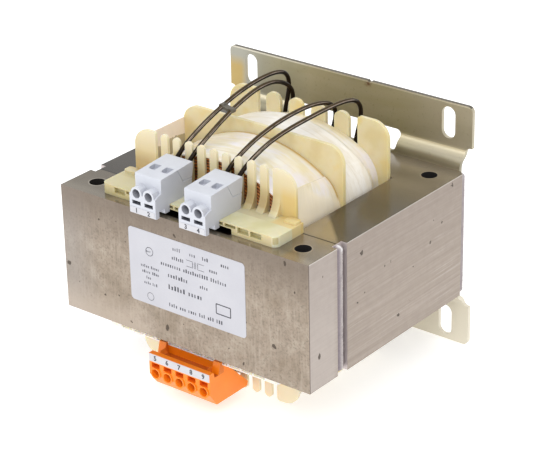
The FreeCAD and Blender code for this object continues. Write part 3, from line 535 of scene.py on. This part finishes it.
def printed_film(name, pale, deep):
    """Matt white polyester label stock."""
    material, tree, where = blank(name)
    colour = mottled(tree, where, 18, (0.3, deep), (0.7, pale))
    finish_surface(tree, Base_Color=colour, Roughness=0.5,
                   Normal=put(tree, "Bump", {"Height": blotches(tree, where, 5),
                                             "Distance": 0.03 * MM, "Strength": 0.3}))
    return material


def small_part(name, size, *stops, **surface):
    """Finish of a small part: tones in blotches of size mm on one surface."""
    material, tree, where = blank(name)
    finish_surface(tree, Base_Color=mottled(tree, where, size, *stops), **surface)
    return material


def lead_sleeve():
    """Glossy dark brown sleeving, with a painted sheen on top and painted highlight lines along
    its upper and right sides.
    """
    material, tree, where = blank("lead_sleeving")
    scuff_and_sheen = blotches(tree, where, 3.5)
    colour = put(tree, "ValToRGB", (scuff_and_sheen,),
                 stops=[(0.35, "#120a03"), (0.6, "#221506"), (0.8, "#3a2a12")])
    # painted sheen on the upper side and painted highlight lines, broken up by the blotches
    normal = put(tree, "NewGeometry", out="Normal")
    above = put(tree, "VectorMath", (normal, (0.35, -0.1, 0.93)), out="Value",
                operation="DOT_PRODUCT")
    colour = flecked(tree, colour, "#4d3d20", above, (0.72, 0.0), (0.96, 0.7))
    for toward, reach, share in (((0.55, -0.45, 0.70), 0.975, 0.75),
                                 ((0.90, -0.10, 0.42), 0.965, 0.5)):
        facing = put(tree, "VectorMath", (normal, toward), out="Value", operation="DOT_PRODUCT")
        line = put(tree, "ValToRGB", (facing,), stops=[(reach, 0.0), ((reach + 1) / 2, share)])
        line = product(tree, line, put(tree, "ValToRGB", (scuff_and_sheen,),
                                       stops=[(0.3, 0.35), (0.55, 1.0)]))
        colour = tinted(tree, colour, "#cdbcae", line)
    finish_surface(tree, Base_Color=colour, Roughness=0.3, IOR=1.45, Specular_IOR_Level=0.12,
                   Normal=put(tree, "Bump", {"Height": blotches(tree, where, 2.5),
                                             "Distance": 0.12 * MM, "Strength": 0.3}))
    return material


steel = electrical_steel()
weld = weld_metal()
zinc = passivated_zinc()
bobbin_nylon = moulded_nylon("natural_nylon_bobbin", "#e2d6b0", "#dacb9c", "#e3cf92")
carrier_nylon = moulded_nylon("natural_nylon_carrier", "#d9d5b3", "#cfca9f", "#dfdcc0")
# enamelled wire: red-brown and glossy
copper = small_part("enamelled_copper", 2.2, (0.3, "#5c2e0d"), (0.5, "#9a571d"),
                    (0.72, "#c88034"), Metallic=0.3, Roughness=0.3, Coat_Weight=0.5,
                    Coat_Roughness=0.15)
# varnished paper between the layers of wire, and painted shade for the dark gaps between them
layers = small_part("varnished_layers_gap_shade", 2, (0.35, "#1f0e06"), (0.7, "#38190b"), Roughness=0.6)
film = polyester_film()
tape = crepe_tape()
INPUT_POLES = (-21.65, -14.15, 8.35, 15.85)
OUTPUT_POLES = (-15.0, -7.5, 0.0, 7.5, 15.0)
# painted shade in the white terminals' wire entries, test slots and top recesses
INPUT_WELLS = {
    "poles": INPUT_POLES, "entry_z": STACK_TOP + 11.0, "entry_share": 0.8,
    "entry_tone": "#565864", "boxes": [
        (2.7, (-4.7, 5), (STACK_TOP + 5.4, STACK_TOP + 7.6), 0.85, "#4c4e59"),
        (2.2, (6.1, 11.5), (STACK_TOP + 15, STACK_TOP + 24), 0.8, "#8f93a3")],
    "shade": "#a2a3ab", "ahead": "#cdd0d8"}
# painted light in the orange terminal's wire entries, painted shade in its windows and recess
OUTPUT_WELLS = {
    "poles": OUTPUT_POLES, "entry_z": -STACK_TOP - 16.8, "entry_share": 0.8,
    "entry_tone": "#ffa010", "boxes": [
        (2.6, (-4.2, 2), (-STACK_TOP - 14.1, -STACK_TOP - 11.3), 0.6, "#d4500a"),
        (40, (-0.9, 6), (-STACK_TOP - 9.6, -STACK_TOP - 4), 0.75, "#a04408")],
    "shade": "#ff8d26", "ahead": "#ff8a00"}
white_plastic = moulded_plastic("white_polyamide", "#cdd0d8", "#c5c8d0", 0.42, INPUT_WELLS)
orange_plastic = moulded_plastic("orange_polyamide", "#ff8d26", "#fb7f16", 0.38, OUTPUT_WELLS)
marker = printed_film("marker_stock", "#cfcfd3", "#c6c6cb")
label = printed_film("label_stock", "#c5c5cb", "#bebec5")
# thermal print: dark grey, a little uneven
ink = small_part("thermal_print", 1.2, (0.3, "#303038"), (0.7, "#4c4c56"), Roughness=0.55)
sleeving = lead_sleeve()
# grey-brown and matt
tie_nylon = small_part("tie_nylon", 1.5, (0.3, "#4f4a40"), (0.7, "#6a6456"), Roughness=0.5)
# plated, and painted dark for the shade of its hole inside the terminals
spring_steel = small_part("plated_spring_steel", 1.5, (0.3, "#4a4a4d"), (0.7, "#77777a"),
                          Metallic=0.9, Roughness=0.38)

CAD_FINISH = (
    (steel, "e_laminations i_laminations"),
    (zinc, "mounting_bracket"),
    (weld, "weld_bead_front_left weld_bead_front_right weld_bead_rear_left weld_bead_rear_right"),
    (bobbin_nylon, "bobbin"),
    (layers, "front_winding rear_winding"),
    (film, "front_winding_wrap rear_winding_band side_sheet_left side_sheet_right"),
    (tape, "rear_winding_tape"),
    (carrier_nylon, "terminal_carrier_top terminal_carrier_bottom"),
    (white_plastic, "input_housing_left input_housing_right"),
    (orange_plastic, "output_housing"),
    (spring_steel, "input_clamps_left input_clamps_right output_clamps"),
    (marker, "input_marker_left input_marker_right output_marker"),
    (label, "rating_label"),
    (tie_nylon, "lead_tie"),
)
for material, dressed in CAD_FINISH:
    for name in dressed.split():
        mesh = nodes[name].data
        mesh.materials.clear()
        mesh.materials.append(material)



# Leads


LEAD_D = 2.2
FLOOR_Z = STACK_TOP + 5.0
LEADS = {
    "lead_1": (122.5, [(-21.4, 21.9, 49.5), (-18.75, 24.9, 56.7), (-18.3, 39.0, 63.4),
                       (-17.8, 49.0, 67.2), (-17.4, 59.0, 70.4), (-16.8, 70.5, 73.1),
                       (-16.1, 83.0, 74.7), (-15.6, 94.0, 74.4), (-15.4, 101.2, 71.8),
                       (-15.2, 103.6, 66.0), (-15.2, 102.0, 59.0), (-15.3, 99.7, 52.0),
                       (-15.3, 98.8, 45.0), (-15.3, 98.7, FLOOR_Z)]),
    "lead_2": (116.4, [(-13.9, 21.9, 49.5), (-11.3, 24.9, 56.2), (-11.7, 39.0, 62.2),
                       (-12.1, 49.0, 65.9), (-12.5, 59.0, 68.9), (-12.7, 70.5, 71.6),
                       (-12.7, 80.0, 72.5), (-12.8, 89.0, 71.6), (-12.8, 97.0, 68.3),
                       (-12.8, 102.6, 63.2), (-12.7, 103.2, 57.2), (-12.7, 100.4, 51.4),
                       (-12.7, 98.8, 45.4), (-12.7, 98.7, FLOOR_Z)]),
    "lead_3": (110.6, [(8.6, 21.9, 49.5), (11.2, 24.9, 56.2), (11.6, 39.0, 61.9),
                       (11.9, 49.0, 64.3), (12.2, 59.0, 66.0), (12.6, 70.5, 67.0),
                       (13.1, 83.0, 67.0), (13.6, 94.0, 65.2), (13.8, 101.2, 61.4),
                       (13.9, 102.8, 55.8), (13.9, 100.4, 50.2), (13.8, 98.8, 44.6),
                       (13.8, 98.7, FLOOR_Z)]),
    "lead_4": (117.1, [(16.1, 21.9, 49.5), (18.7, 24.9, 56.4), (20.0, 39.0, 62.7),
                       (21.1, 49.0, 65.2), (22.3, 59.0, 66.8), (23.9, 70.5, 68.2),
                       (25.8, 83.0, 69.4), (27.3, 93.0, 69.5), (28.1, 100.0, 67.8),
                       (28.3, 103.6, 63.2), (28.3, 103.4, 57.0), (28.2, 100.8, 50.8),
                       (28.1, 98.8, 44.6), (28.1, 98.7, FLOOR_Z)]),
}


def sleeved_lead(name, route):
    """Smooth round lead whose control points are its route."""
    curve = bpy.data.curves.new(name + "_sleeve", "CURVE")
    curve.dimensions = "3D"
    curve.resolution_u = 10
    curve.bevel_depth = LEAD_D / 2 * MM
    curve.bevel_resolution = 5
    curve.use_fill_caps = True
    spline = curve.splines.new("NURBS")
    spline.points.add(len(route) - 1)
    for point, (x, depth, z) in zip(spline.points, route):
        point.co = (x * MM, at(depth) * MM, z * MM, 1.0)
    spline.order_u = 3
    spline.use_endpoint_u = True
    curve.materials.append(sleeving)
    return linked(name + "_sleeve", curve)


for name, (length, route) in LEADS.items():
    lead = sleeved_lead(name, route)
    x, depth, z = route[0]
    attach(lead, "root")
    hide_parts(name)


# Shapes that repeat, grown by Geometry Nodes


def growing_tree(name, inputs):
    """Geometry Nodes tree with named inputs and a geometry output, and the outputs of its input
    node.
    """
    tree = bpy.data.node_groups.new(name, "GeometryNodeTree")
    tree.interface.new_socket("Geometry", in_out="INPUT", socket_type="NodeSocketGeometry")
    for label, kind in inputs:
        tree.interface.new_socket(label, in_out="INPUT", socket_type="NodeSocket" + kind)
    tree.interface.new_socket("Geometry", in_out="OUTPUT", socket_type="NodeSocketGeometry")
    return tree, put(tree, "NodeGroupInput", out=None)


def close_tree(tree, shape, material):
    """Ends a tree: smooth, realized and with its material."""
    smooth = put(tree, "GeometryNodeSetShadeSmooth", {"Geometry": shape})
    real = put(tree, "GeometryNodeRealizeInstances", {"Geometry": smooth})
    painted = put(tree, "GeometryNodeSetMaterial", {"Geometry": real, "Material": material})
    put(tree, "NodeGroupOutput", {"Geometry": painted}, out=None)


def grown(name, tree, base, values):
    """Plain mesh object of what a tree makes of a base mesh and these input values."""
    source = linked(name + "_source", base)
    grower = source.modifiers.new("grow", "NODES")
    grower.node_group = tree
    for item in tree.interface.items_tree:
        if item.in_out == "INPUT" and item.name in values:
            grower[item.identifier] = values[item.name]
    graph = bpy.context.evaluated_depsgraph_get()
    mesh = bpy.data.meshes.new_from_object(source.evaluated_get(graph))
    source.modifiers.remove(grower)
    bpy.data.objects.remove(source)
    mesh.name = name
    return linked(name, mesh)


def wire_layer_tree():
    """Closed turns of wire laid inside each other, from an outline drawn in as it repeats."""
    tree, given = growing_tree("wire_layer", [
        ("Turns", "Int"), ("Pitch Across", "Float"), ("Pitch Up", "Float"),
        ("Half Width", "Float"), ("Half Height", "Float"), ("Wire", "Float"),
        ("Unevenness", "Float"), ("Seed", "Int"), ("Material", "Material")])
    path = put(tree, "GeometryNodeMeshToCurve", {"Mesh": given["Geometry"]})
    stack = put(tree, "GeometryNodeMeshLine", {"Count": given["Turns"], "Offset": (0, 0, 0)})
    shift = put(tree, "FunctionNodeRandomValue",
                {2: product(tree, given["Unevenness"], -1.0), 3: given["Unevenness"],
                 8: given["Seed"]}, out=1, data_type="FLOAT")
    offset = put(tree, "CombineXYZ", {"Y": shift})
    stack = put(tree, "GeometryNodeSetPosition", {"Geometry": stack, "Offset": offset})
    index = put(tree, "GeometryNodeInputIndex")
    shares = []
    for pitch, half in (("Pitch Across", "Half Width"), ("Pitch Up", "Half Height")):
        inset = product(tree, index, given[pitch])
        shares.append(put(tree, "Math", (1.0,
                                         put(tree, "Math", (inset, given[half]),
                                             operation="DIVIDE")), operation="SUBTRACT"))
    scale = put(tree, "CombineXYZ", {"X": shares[0], "Y": 1.0, "Z": shares[1]})
    turns = put(tree, "GeometryNodeInstanceOnPoints",
                {"Points": stack, "Instance": path, "Scale": scale})
    loose = put(tree, "GeometryNodeRealizeInstances", {"Geometry": turns})
    ring = put(tree, "GeometryNodeCurvePrimitiveCircle",
               {"Resolution": 6, "Radius": product(tree, given["Wire"], 0.5)})
    wire = put(tree, "GeometryNodeCurveToMesh", {"Curve": loose, "Profile Curve": ring})
    close_tree(tree, wire, given["Material"])
    return tree


def weld_ripple_tree():
    """Row of flat overlapping scales, as a weld pool leaves them, each a little off in size and
    tilt."""
    tree, given = growing_tree("weld_ripples", [
        ("Count", "Int"), ("Start", "Vector"), ("Pitch", "Float"), ("Radius", "Float"),
        ("Tilt", "Float"), ("Seed", "Int"), ("Material", "Material")])
    step = put(tree, "CombineXYZ", {"Z": given["Pitch"]})
    row = put(tree, "GeometryNodeMeshLine",
              {"Count": given["Count"], "Start Location": given["Start"], "Offset": step})
    lean = put(tree, "CombineXYZ", {"X": given["Tilt"], "Y": given["Tilt"]})
    back = put(tree, "VectorMath", {0: lean, 3: -1.0}, operation="SCALE")
    turn = put(tree, "FunctionNodeRandomValue", {0: back, 1: lean, 8: given["Seed"]},
               data_type="FLOAT_VECTOR")
    size = put(tree, "FunctionNodeRandomValue",
               {2: 0.95, 3: 0.99, 8: put(tree, "Math", (given["Seed"], 1), operation="ADD")},
               out=1, data_type="FLOAT")
    wide = product(tree, size, given["Radius"])
    thick = product(tree, given["Pitch"], 1.5)
    scale = put(tree, "CombineXYZ", {"X": wide, "Y": wide, "Z": thick})
    drop = put(tree, "GeometryNodeMeshUVSphere", {"Segments": 18, "Rings": 8, "Radius": 1.0})
    scales = put(tree, "GeometryNodeInstanceOnPoints",
                 {"Points": row, "Instance": drop, "Rotation": turn, "Scale": scale})
    close_tree(tree, scales, given["Material"])
    return tree


def coil_outline(half_width, half_height, depth):
    """Outline mesh of a crowned coil: upright sides, round shoulders, shallow crown."""
    crown_r, shoulder_r = 67.5, 20.0
    across = half_width - shoulder_r
    crown_z = half_height - crown_r
    shoulder_z = crown_z + math.sqrt((crown_r - shoulder_r) ** 2 - across ** 2)
    slope = math.atan2(across, shoulder_z - crown_z)
    quarter = [(half_width, shoulder_z * k / 4) for k in range(4)]
    for k in range(9):
        turn = math.pi / 2 - (math.pi / 2 - slope) * k / 8
        quarter.append((across + shoulder_r * math.sin(turn),
                        shoulder_z + shoulder_r * math.cos(turn)))
    for k in range(1, 7):
        turn = slope * (1 - k / 6)
        quarter.append((crown_r * math.sin(turn), crown_z + crown_r * math.cos(turn)))
    half = quarter + [(-x, z) for x, z in reversed(quarter[:-1])]
    loop = half + [(x, -z) for x, z in reversed(half[1:-1])]
    mesh = bpy.data.meshes.new("coil_outline")
    edges = [(i, (i + 1) % len(loop)) for i in range(len(loop))]
    mesh.from_pydata([(x * MM, at(depth) * MM, z * MM) for x, z in loop], edges, [])
    return mesh


wire_layers = wire_layer_tree()
COIL_ENDS = {
    # half width and height of the outermost turn, depth of the wire's middle, turns, pitch up
    # the wire is 0.8 mm, drawn thicker so that its turns still show
    "front_wire_layer": (45.0, 54.2, 27.6, 13, 1.5),
    "rear_wire_layer": (41.7, 52.2, 96.85, 10, 1.6),
}
for number, (name, sizes) in enumerate(COIL_ENDS.items()):
    half_width, half_height, depth, turns, pitch_up = sizes
    layer = grown(name, wire_layers, coil_outline(half_width, half_height, depth), {
        "Turns": turns, "Pitch Across": 1.4 * MM, "Pitch Up": pitch_up * MM,
        "Half Width": half_width * MM, "Half Height": half_height * MM, "Wire": 1.1 * MM,
        "Unevenness": 0.08 * MM, "Seed": 31 + number, "Material": copper})
    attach(layer, "root")

ripples = weld_ripple_tree()
BEADS = {
    # middle of the seam in x and depth, radius, and the plane that its hidden half is cut at
    "front": (71.8, 25.0, 3.1, (71.8, 25.0), (1, 0)),
    "rear": (72.8, 124.4, 2.1, (72.4, 125.0), (1, 1)),
}


def welded_seam(name, side, place, number):
    x, depth, radius, through, outward = place
    count = 44
    pitch = 1.4
    seam = grown(name, ripples, bpy.data.meshes.new("seam_base"), {
        "Count": count, "Start": (side * x * MM, at(depth) * MM, -pitch * (count - 1) / 2 * MM),
        "Pitch": pitch * MM, "Radius": radius * MM, "Tilt": 0.10, "Seed": 50 + number,
        "Material": weld})
    body = bmesh.new()
    body.from_mesh(seam.data)
    bmesh.ops.bisect_plane(body, geom=body.verts[:] + body.edges[:] + body.faces[:],
                           plane_co=(side * through[0] * MM, at(through[1]) * MM, 0),
                           plane_no=(side * outward[0], outward[1], 0), clear_inner=True)
    body.to_mesh(seam.data)
    body.free()
    return seam


for number, end in enumerate(BEADS):
    for side, word in ((1, "right"), (-1, "left")):
        name = "weld_bead_" + end + "_" + word
        seam = welded_seam(name + "_ripples", side, BEADS[end], 2 * number + (side > 0))
        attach(seam, "root")
        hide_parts(name)


# Print on the label and on the marker strips


LABEL_LEFT, LABEL_TOP = -32.2, 23.0     # corner of the label, in x and z
LOW_LETTER, LETTER_PITCH, WORD_GAP = 0.72, 0.72, 0.6    # shares of a line's height
THIN_LINE = 0.24
DIGIT_SHARE = 0.7       # height of a digit as a share of the font's size


def printed(name, faces, material, depth):
    """Flat print at one depth, from outlines of (x, z) points in mm that run anticlockwise."""
    mesh = bpy.data.meshes.new(name)
    spots, sides = [], []
    for face in faces:
        sides.append(tuple(range(len(spots), len(spots) + len(face))))
        spots += [(x * MM, at(depth) * MM, z * MM) for x, z in face]
    mesh.from_pydata(spots, [], sides)
    mesh.materials.append(material)
    return linked(name, mesh)


def bar(left, right, drop, height):
    """Filled bar on the label, from distances right of and below its upper left corner."""
    x0, x1 = LABEL_LEFT + left, LABEL_LEFT + right
    z0, z1 = LABEL_TOP - drop - height / 2, LABEL_TOP - drop + height / 2
    return [(x0, z0), (x1, z0), (x1, z1), (x0, z1)]


def words(chance, left, right, drop, height, shortest=3, longest=8):
    """Line of print as words of narrow upright bars, one bar for each letter."""
    faces = []
    while left < right - height:
        for _ in range(chance.randint(shortest, longest)):
            if left > right:
                break
            tall = height * chance.choice((LOW_LETTER, LOW_LETTER, 1.0))
            low = drop + (height - tall) / 2
            faces.append(bar(left, left + height * chance.uniform(0.24, 0.42), low, tall))
            left += height * LETTER_PITCH
        left += height * WORD_GAP
    return faces


def stroke(points, width):
    """Line of even width along points, given like a bar's distances."""
    faces = []
    for (u0, v0), (u1, v1) in zip(points, points[1:]):
        run = math.hypot(u1 - u0, v1 - v0)
        nu, nv = (v1 - v0) / run * width / 2, -(u1 - u0) / run * width / 2
        corners = [(u0 + nu, v0 + nv), (u0 - nu, v0 - nv), (u1 - nu, v1 - nv), (u1 + nu, v1 + nv)]
        faces.append([(LABEL_LEFT + u, LABEL_TOP - v) for u, v in corners])
    return faces


def arc(u, v, r, start, end, steps=10):
    turns = [math.radians(start + (end - start) * k / steps) for k in range(steps + 1)]
    return [(u + r * math.cos(t), v - r * math.sin(t)) for t in turns]


def winding_symbol(u, v):
    """Two windings facing each other across a core, drawn as on any circuit diagram."""
    faces = []
    for side in (-1, 1):
        foot = u + side * 1.8
        for k in range(4):
            middle = v - 1.2 + 0.8 * k
            span = (90, -90) if side < 0 else (90, 270)
            faces += stroke(arc(foot, middle, 0.4, *span), THIN_LINE)
        for end in (-1.6, 1.6):
            faces += stroke([(foot, v + end), (foot + side * 3.6, v + end)], THIN_LINE)
        faces += stroke([(u + side * 0.3, v - 1.7), (u + side * 0.3, v + 1.7)], THIN_LINE)
    return faces


def label_print():
    chance = random.Random(7)
    faces = winding_symbol(41, 9.6)
    for left in (27.5, 37.8, 45.5, 56.6):
        faces += words(chance, left, left + 4.8, 4.6, 1.8, 3, 4)
    for left in (26.8, 49.6):
        faces += words(chance, left, left + 6.8, 9.4, 1.8, 4, 6)
    faces += words(chance, 19.8, 59.5, 14.0, 1.95, 9, 11)
    faces += words(chance, 24.0, 40.0, 19.2, 2.2, 8, 8)
    faces += words(chance, 43.5, 51.5, 19.6, 1.8, 4, 5)
    faces += words(chance, 24.0, 47.0, 25.4, 2.5, 2, 8)
    faces += words(chance, 24.0, 58.5, 34.8, 1.9, 3, 5)
    for row, wide in enumerate((11.0, 9.6, 4.6, 7.6)):
        left = 12.6 - wide / 2
        faces += words(chance, left, left + wide, 18.6 + 2.9 * row, 1.5, 3, 6)
    faces += stroke(arc(12.8, 10.4, 2.2, 0, 360, 24), 0.3)
    faces += words(chance, 10.9, 14.7, 10.4, 1.0, 4, 4)
    faces += stroke([(53.0, 25.6), (61.6, 25.6), (61.6, 30.6), (53.0, 30.6), (53.0, 25.6)], 0.55)
    faces += stroke(arc(12.4, 34.2, 2.0, 0, 360, 20), THIN_LINE)
    return faces


def numerals(name, marks, height, depth, material):
    """Plain numbers on a marker strip, as one mesh; marks are (number, x, z)."""
    body = bmesh.new()
    for text, x, z in marks:
        letter = bpy.data.curves.new("numeral", "FONT")
        letter.body = text
        letter.size = height / DIGIT_SHARE * MM
        letter.offset = 0.12 * MM
        letter.align_x = "CENTER"
        letter.align_y = "CENTER"
        letter.resolution_u = 3
        holder = linked("numeral", letter)
        graph = bpy.context.evaluated_depsgraph_get()
        flat = bpy.data.meshes.new_from_object(holder.evaluated_get(graph))
        bpy.data.objects.remove(holder)
        flat.transform(Matrix.Translation((x * MM, at(depth) * MM, z * MM))
                       @ Matrix.Rotation(math.pi / 2, 4, "X"))
        body.from_mesh(flat)
    mesh = bpy.data.meshes.new(name)
    body.to_mesh(mesh)
    body.free()
    mesh.materials.clear()
    mesh.materials.append(material)
    return linked(name, mesh)


PRINT_GAP = 0.02        # how far print stands in front of its film
# front faces of the films, in mm behind the core's front
LABEL_FACE, INPUT_MARKER_FACE, OUTPUT_MARKER_FACE = -0.15, -5.1, -4.6
prints = [(printed("label_print", label_print(), ink, LABEL_FACE - PRINT_GAP), "label_film")]
INPUT_MARK_Z = STACK_TOP + 2.5
OUTPUT_MARK_Z = -STACK_TOP - 8.75
input_marks = [(str(i + 1), x, INPUT_MARK_Z) for i, x in enumerate(INPUT_POLES)]
output_marks = [(str(i + 5), x, OUTPUT_MARK_Z) for i, x in enumerate(OUTPUT_POLES)]
prints.append((numerals("input_numbers", input_marks, 2.2, INPUT_MARKER_FACE - PRINT_GAP, ink),
               "marker_strip"))
prints.append((numerals("output_numbers", output_marks, 2.4, OUTPUT_MARKER_FACE - PRINT_GAP, ink),
               "marker_strip"))
for piece, slot in prints:
    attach(piece, "root")


# Camera


PHOTO_WIDTH = 540
FOCAL_PX = 2137.73      # focal length in pixels of the photograph
SENSOR = 36
AZIMUTH, ELEVATION, ROLL = 38.794, 25.351, -1.227
AIM = (2.574, 7.114, 1045.29)   # camera from the core's middle: right, up and back, in mm


def photo_camera():
    """Camera of the photograph: position, turn and focal length."""
    azimuth, elevation, roll = (math.radians(a) for a in (AZIMUTH, ELEVATION, ROLL))
    pivot = Vector((0, at(CORE_DEPTH / 2), 0))
    back = Vector((math.sin(azimuth) * math.cos(elevation),
                   -math.cos(azimuth) * math.cos(elevation), math.sin(elevation)))
    right = Vector((math.cos(azimuth), math.sin(azimuth), 0))
    up = back.cross(right)
    c, s = math.cos(roll), math.sin(roll)
    right, up = right * c + up * s, up * c - right * s
    place = pivot + right * AIM[0] + up * AIM[1] + back * AIM[2]
    data = bpy.data.cameras.new("photo_camera")
    data.sensor_width = SENSOR
    data.lens = FOCAL_PX / PHOTO_WIDTH * SENSOR
    data.clip_start = 0.05
    data.clip_end = 20
    camera = linked("photo_camera", data)
    turn = Matrix((right, up, back)).transposed().to_4x4()
    camera.matrix_world = Matrix.Translation(place * MM) @ turn
    bpy.context.scene.camera = camera


photo_camera()


# Floor, backdrop and lights


def backdrop_white():
    """Top of a lit table: plain white, bright from below, so that shadows on it stay faint."""
    material, tree, where = blank("lit_table_top")
    tone = mottled(tree, where, 60, (0.3, 0.74), (0.7, 0.76))
    finish_surface(tree, Base_Color=tone, Roughness=0.9, Emission_Color=(1, 1, 1, 1),
                   Emission_Strength=0.55)
    return material


def studio_floor():
    mesh = bpy.data.meshes.new("studio_floor")
    low = cad_box[0][2] - 0.0005
    size = 6.0
    mesh.from_pydata([(-size, -size, low), (size, -size, low), (size, size, low),
                      (-size, size, low)], [], [(0, 1, 2, 3)])
    mesh.materials.append(backdrop_white())
    floor = linked("studio_floor", mesh)


def softbox(name, place, aim, size, power):
    data = bpy.data.lights.new(name, "AREA")
    data.shape = "RECTANGLE"
    data.size, data.size_y = size
    data.energy = power
    lamp = linked(name, data)
    turn = (Vector(aim) - Vector(place)).to_track_quat("-Z", "Y").to_matrix().to_4x4()
    lamp.matrix_world = Matrix.Translation(place) @ turn


def studio_world():
    world = bpy.data.worlds.new("studio_world")
    bpy.context.scene.world = world
    world.use_nodes = True
    tree = world.node_tree
    tree.nodes.clear()
    path = put(tree, "LightPath", out=None)
    seen = put(tree, "Math", (path["Is Camera Ray"], path["Is Transmission Ray"]),
               operation="MAXIMUM")
    seen = put(tree, "Math", (seen, path["Is Glossy Ray"]), operation="MAXIMUM")
    fill = put(tree, "Background", {"Color": (1, 1, 1, 1), "Strength": 0.62})
    clear = put(tree, "Background", {"Color": (1, 1, 1, 1), "Strength": 1.0})
    both = put(tree, "MixShader", (seen, fill, clear))
    put(tree, "OutputWorld", {"Surface": both}, out=None)


studio_floor()
studio_world()
softbox("key_softbox", (0.9, -1.3, 1.4), (0, -0.07, 0), (1.2, 1.2), 17)
softbox("fill_softbox", (-1.3, -1.2, 0.9), (0, -0.07, 0), (1.4, 1.4), 7)
softbox("top_softbox", (-0.2, 0.5, 1.6), (0, -0.07, 0), (1.6, 1.0), 8)

bpy.context.scene.view_settings.view_transform = "Standard"
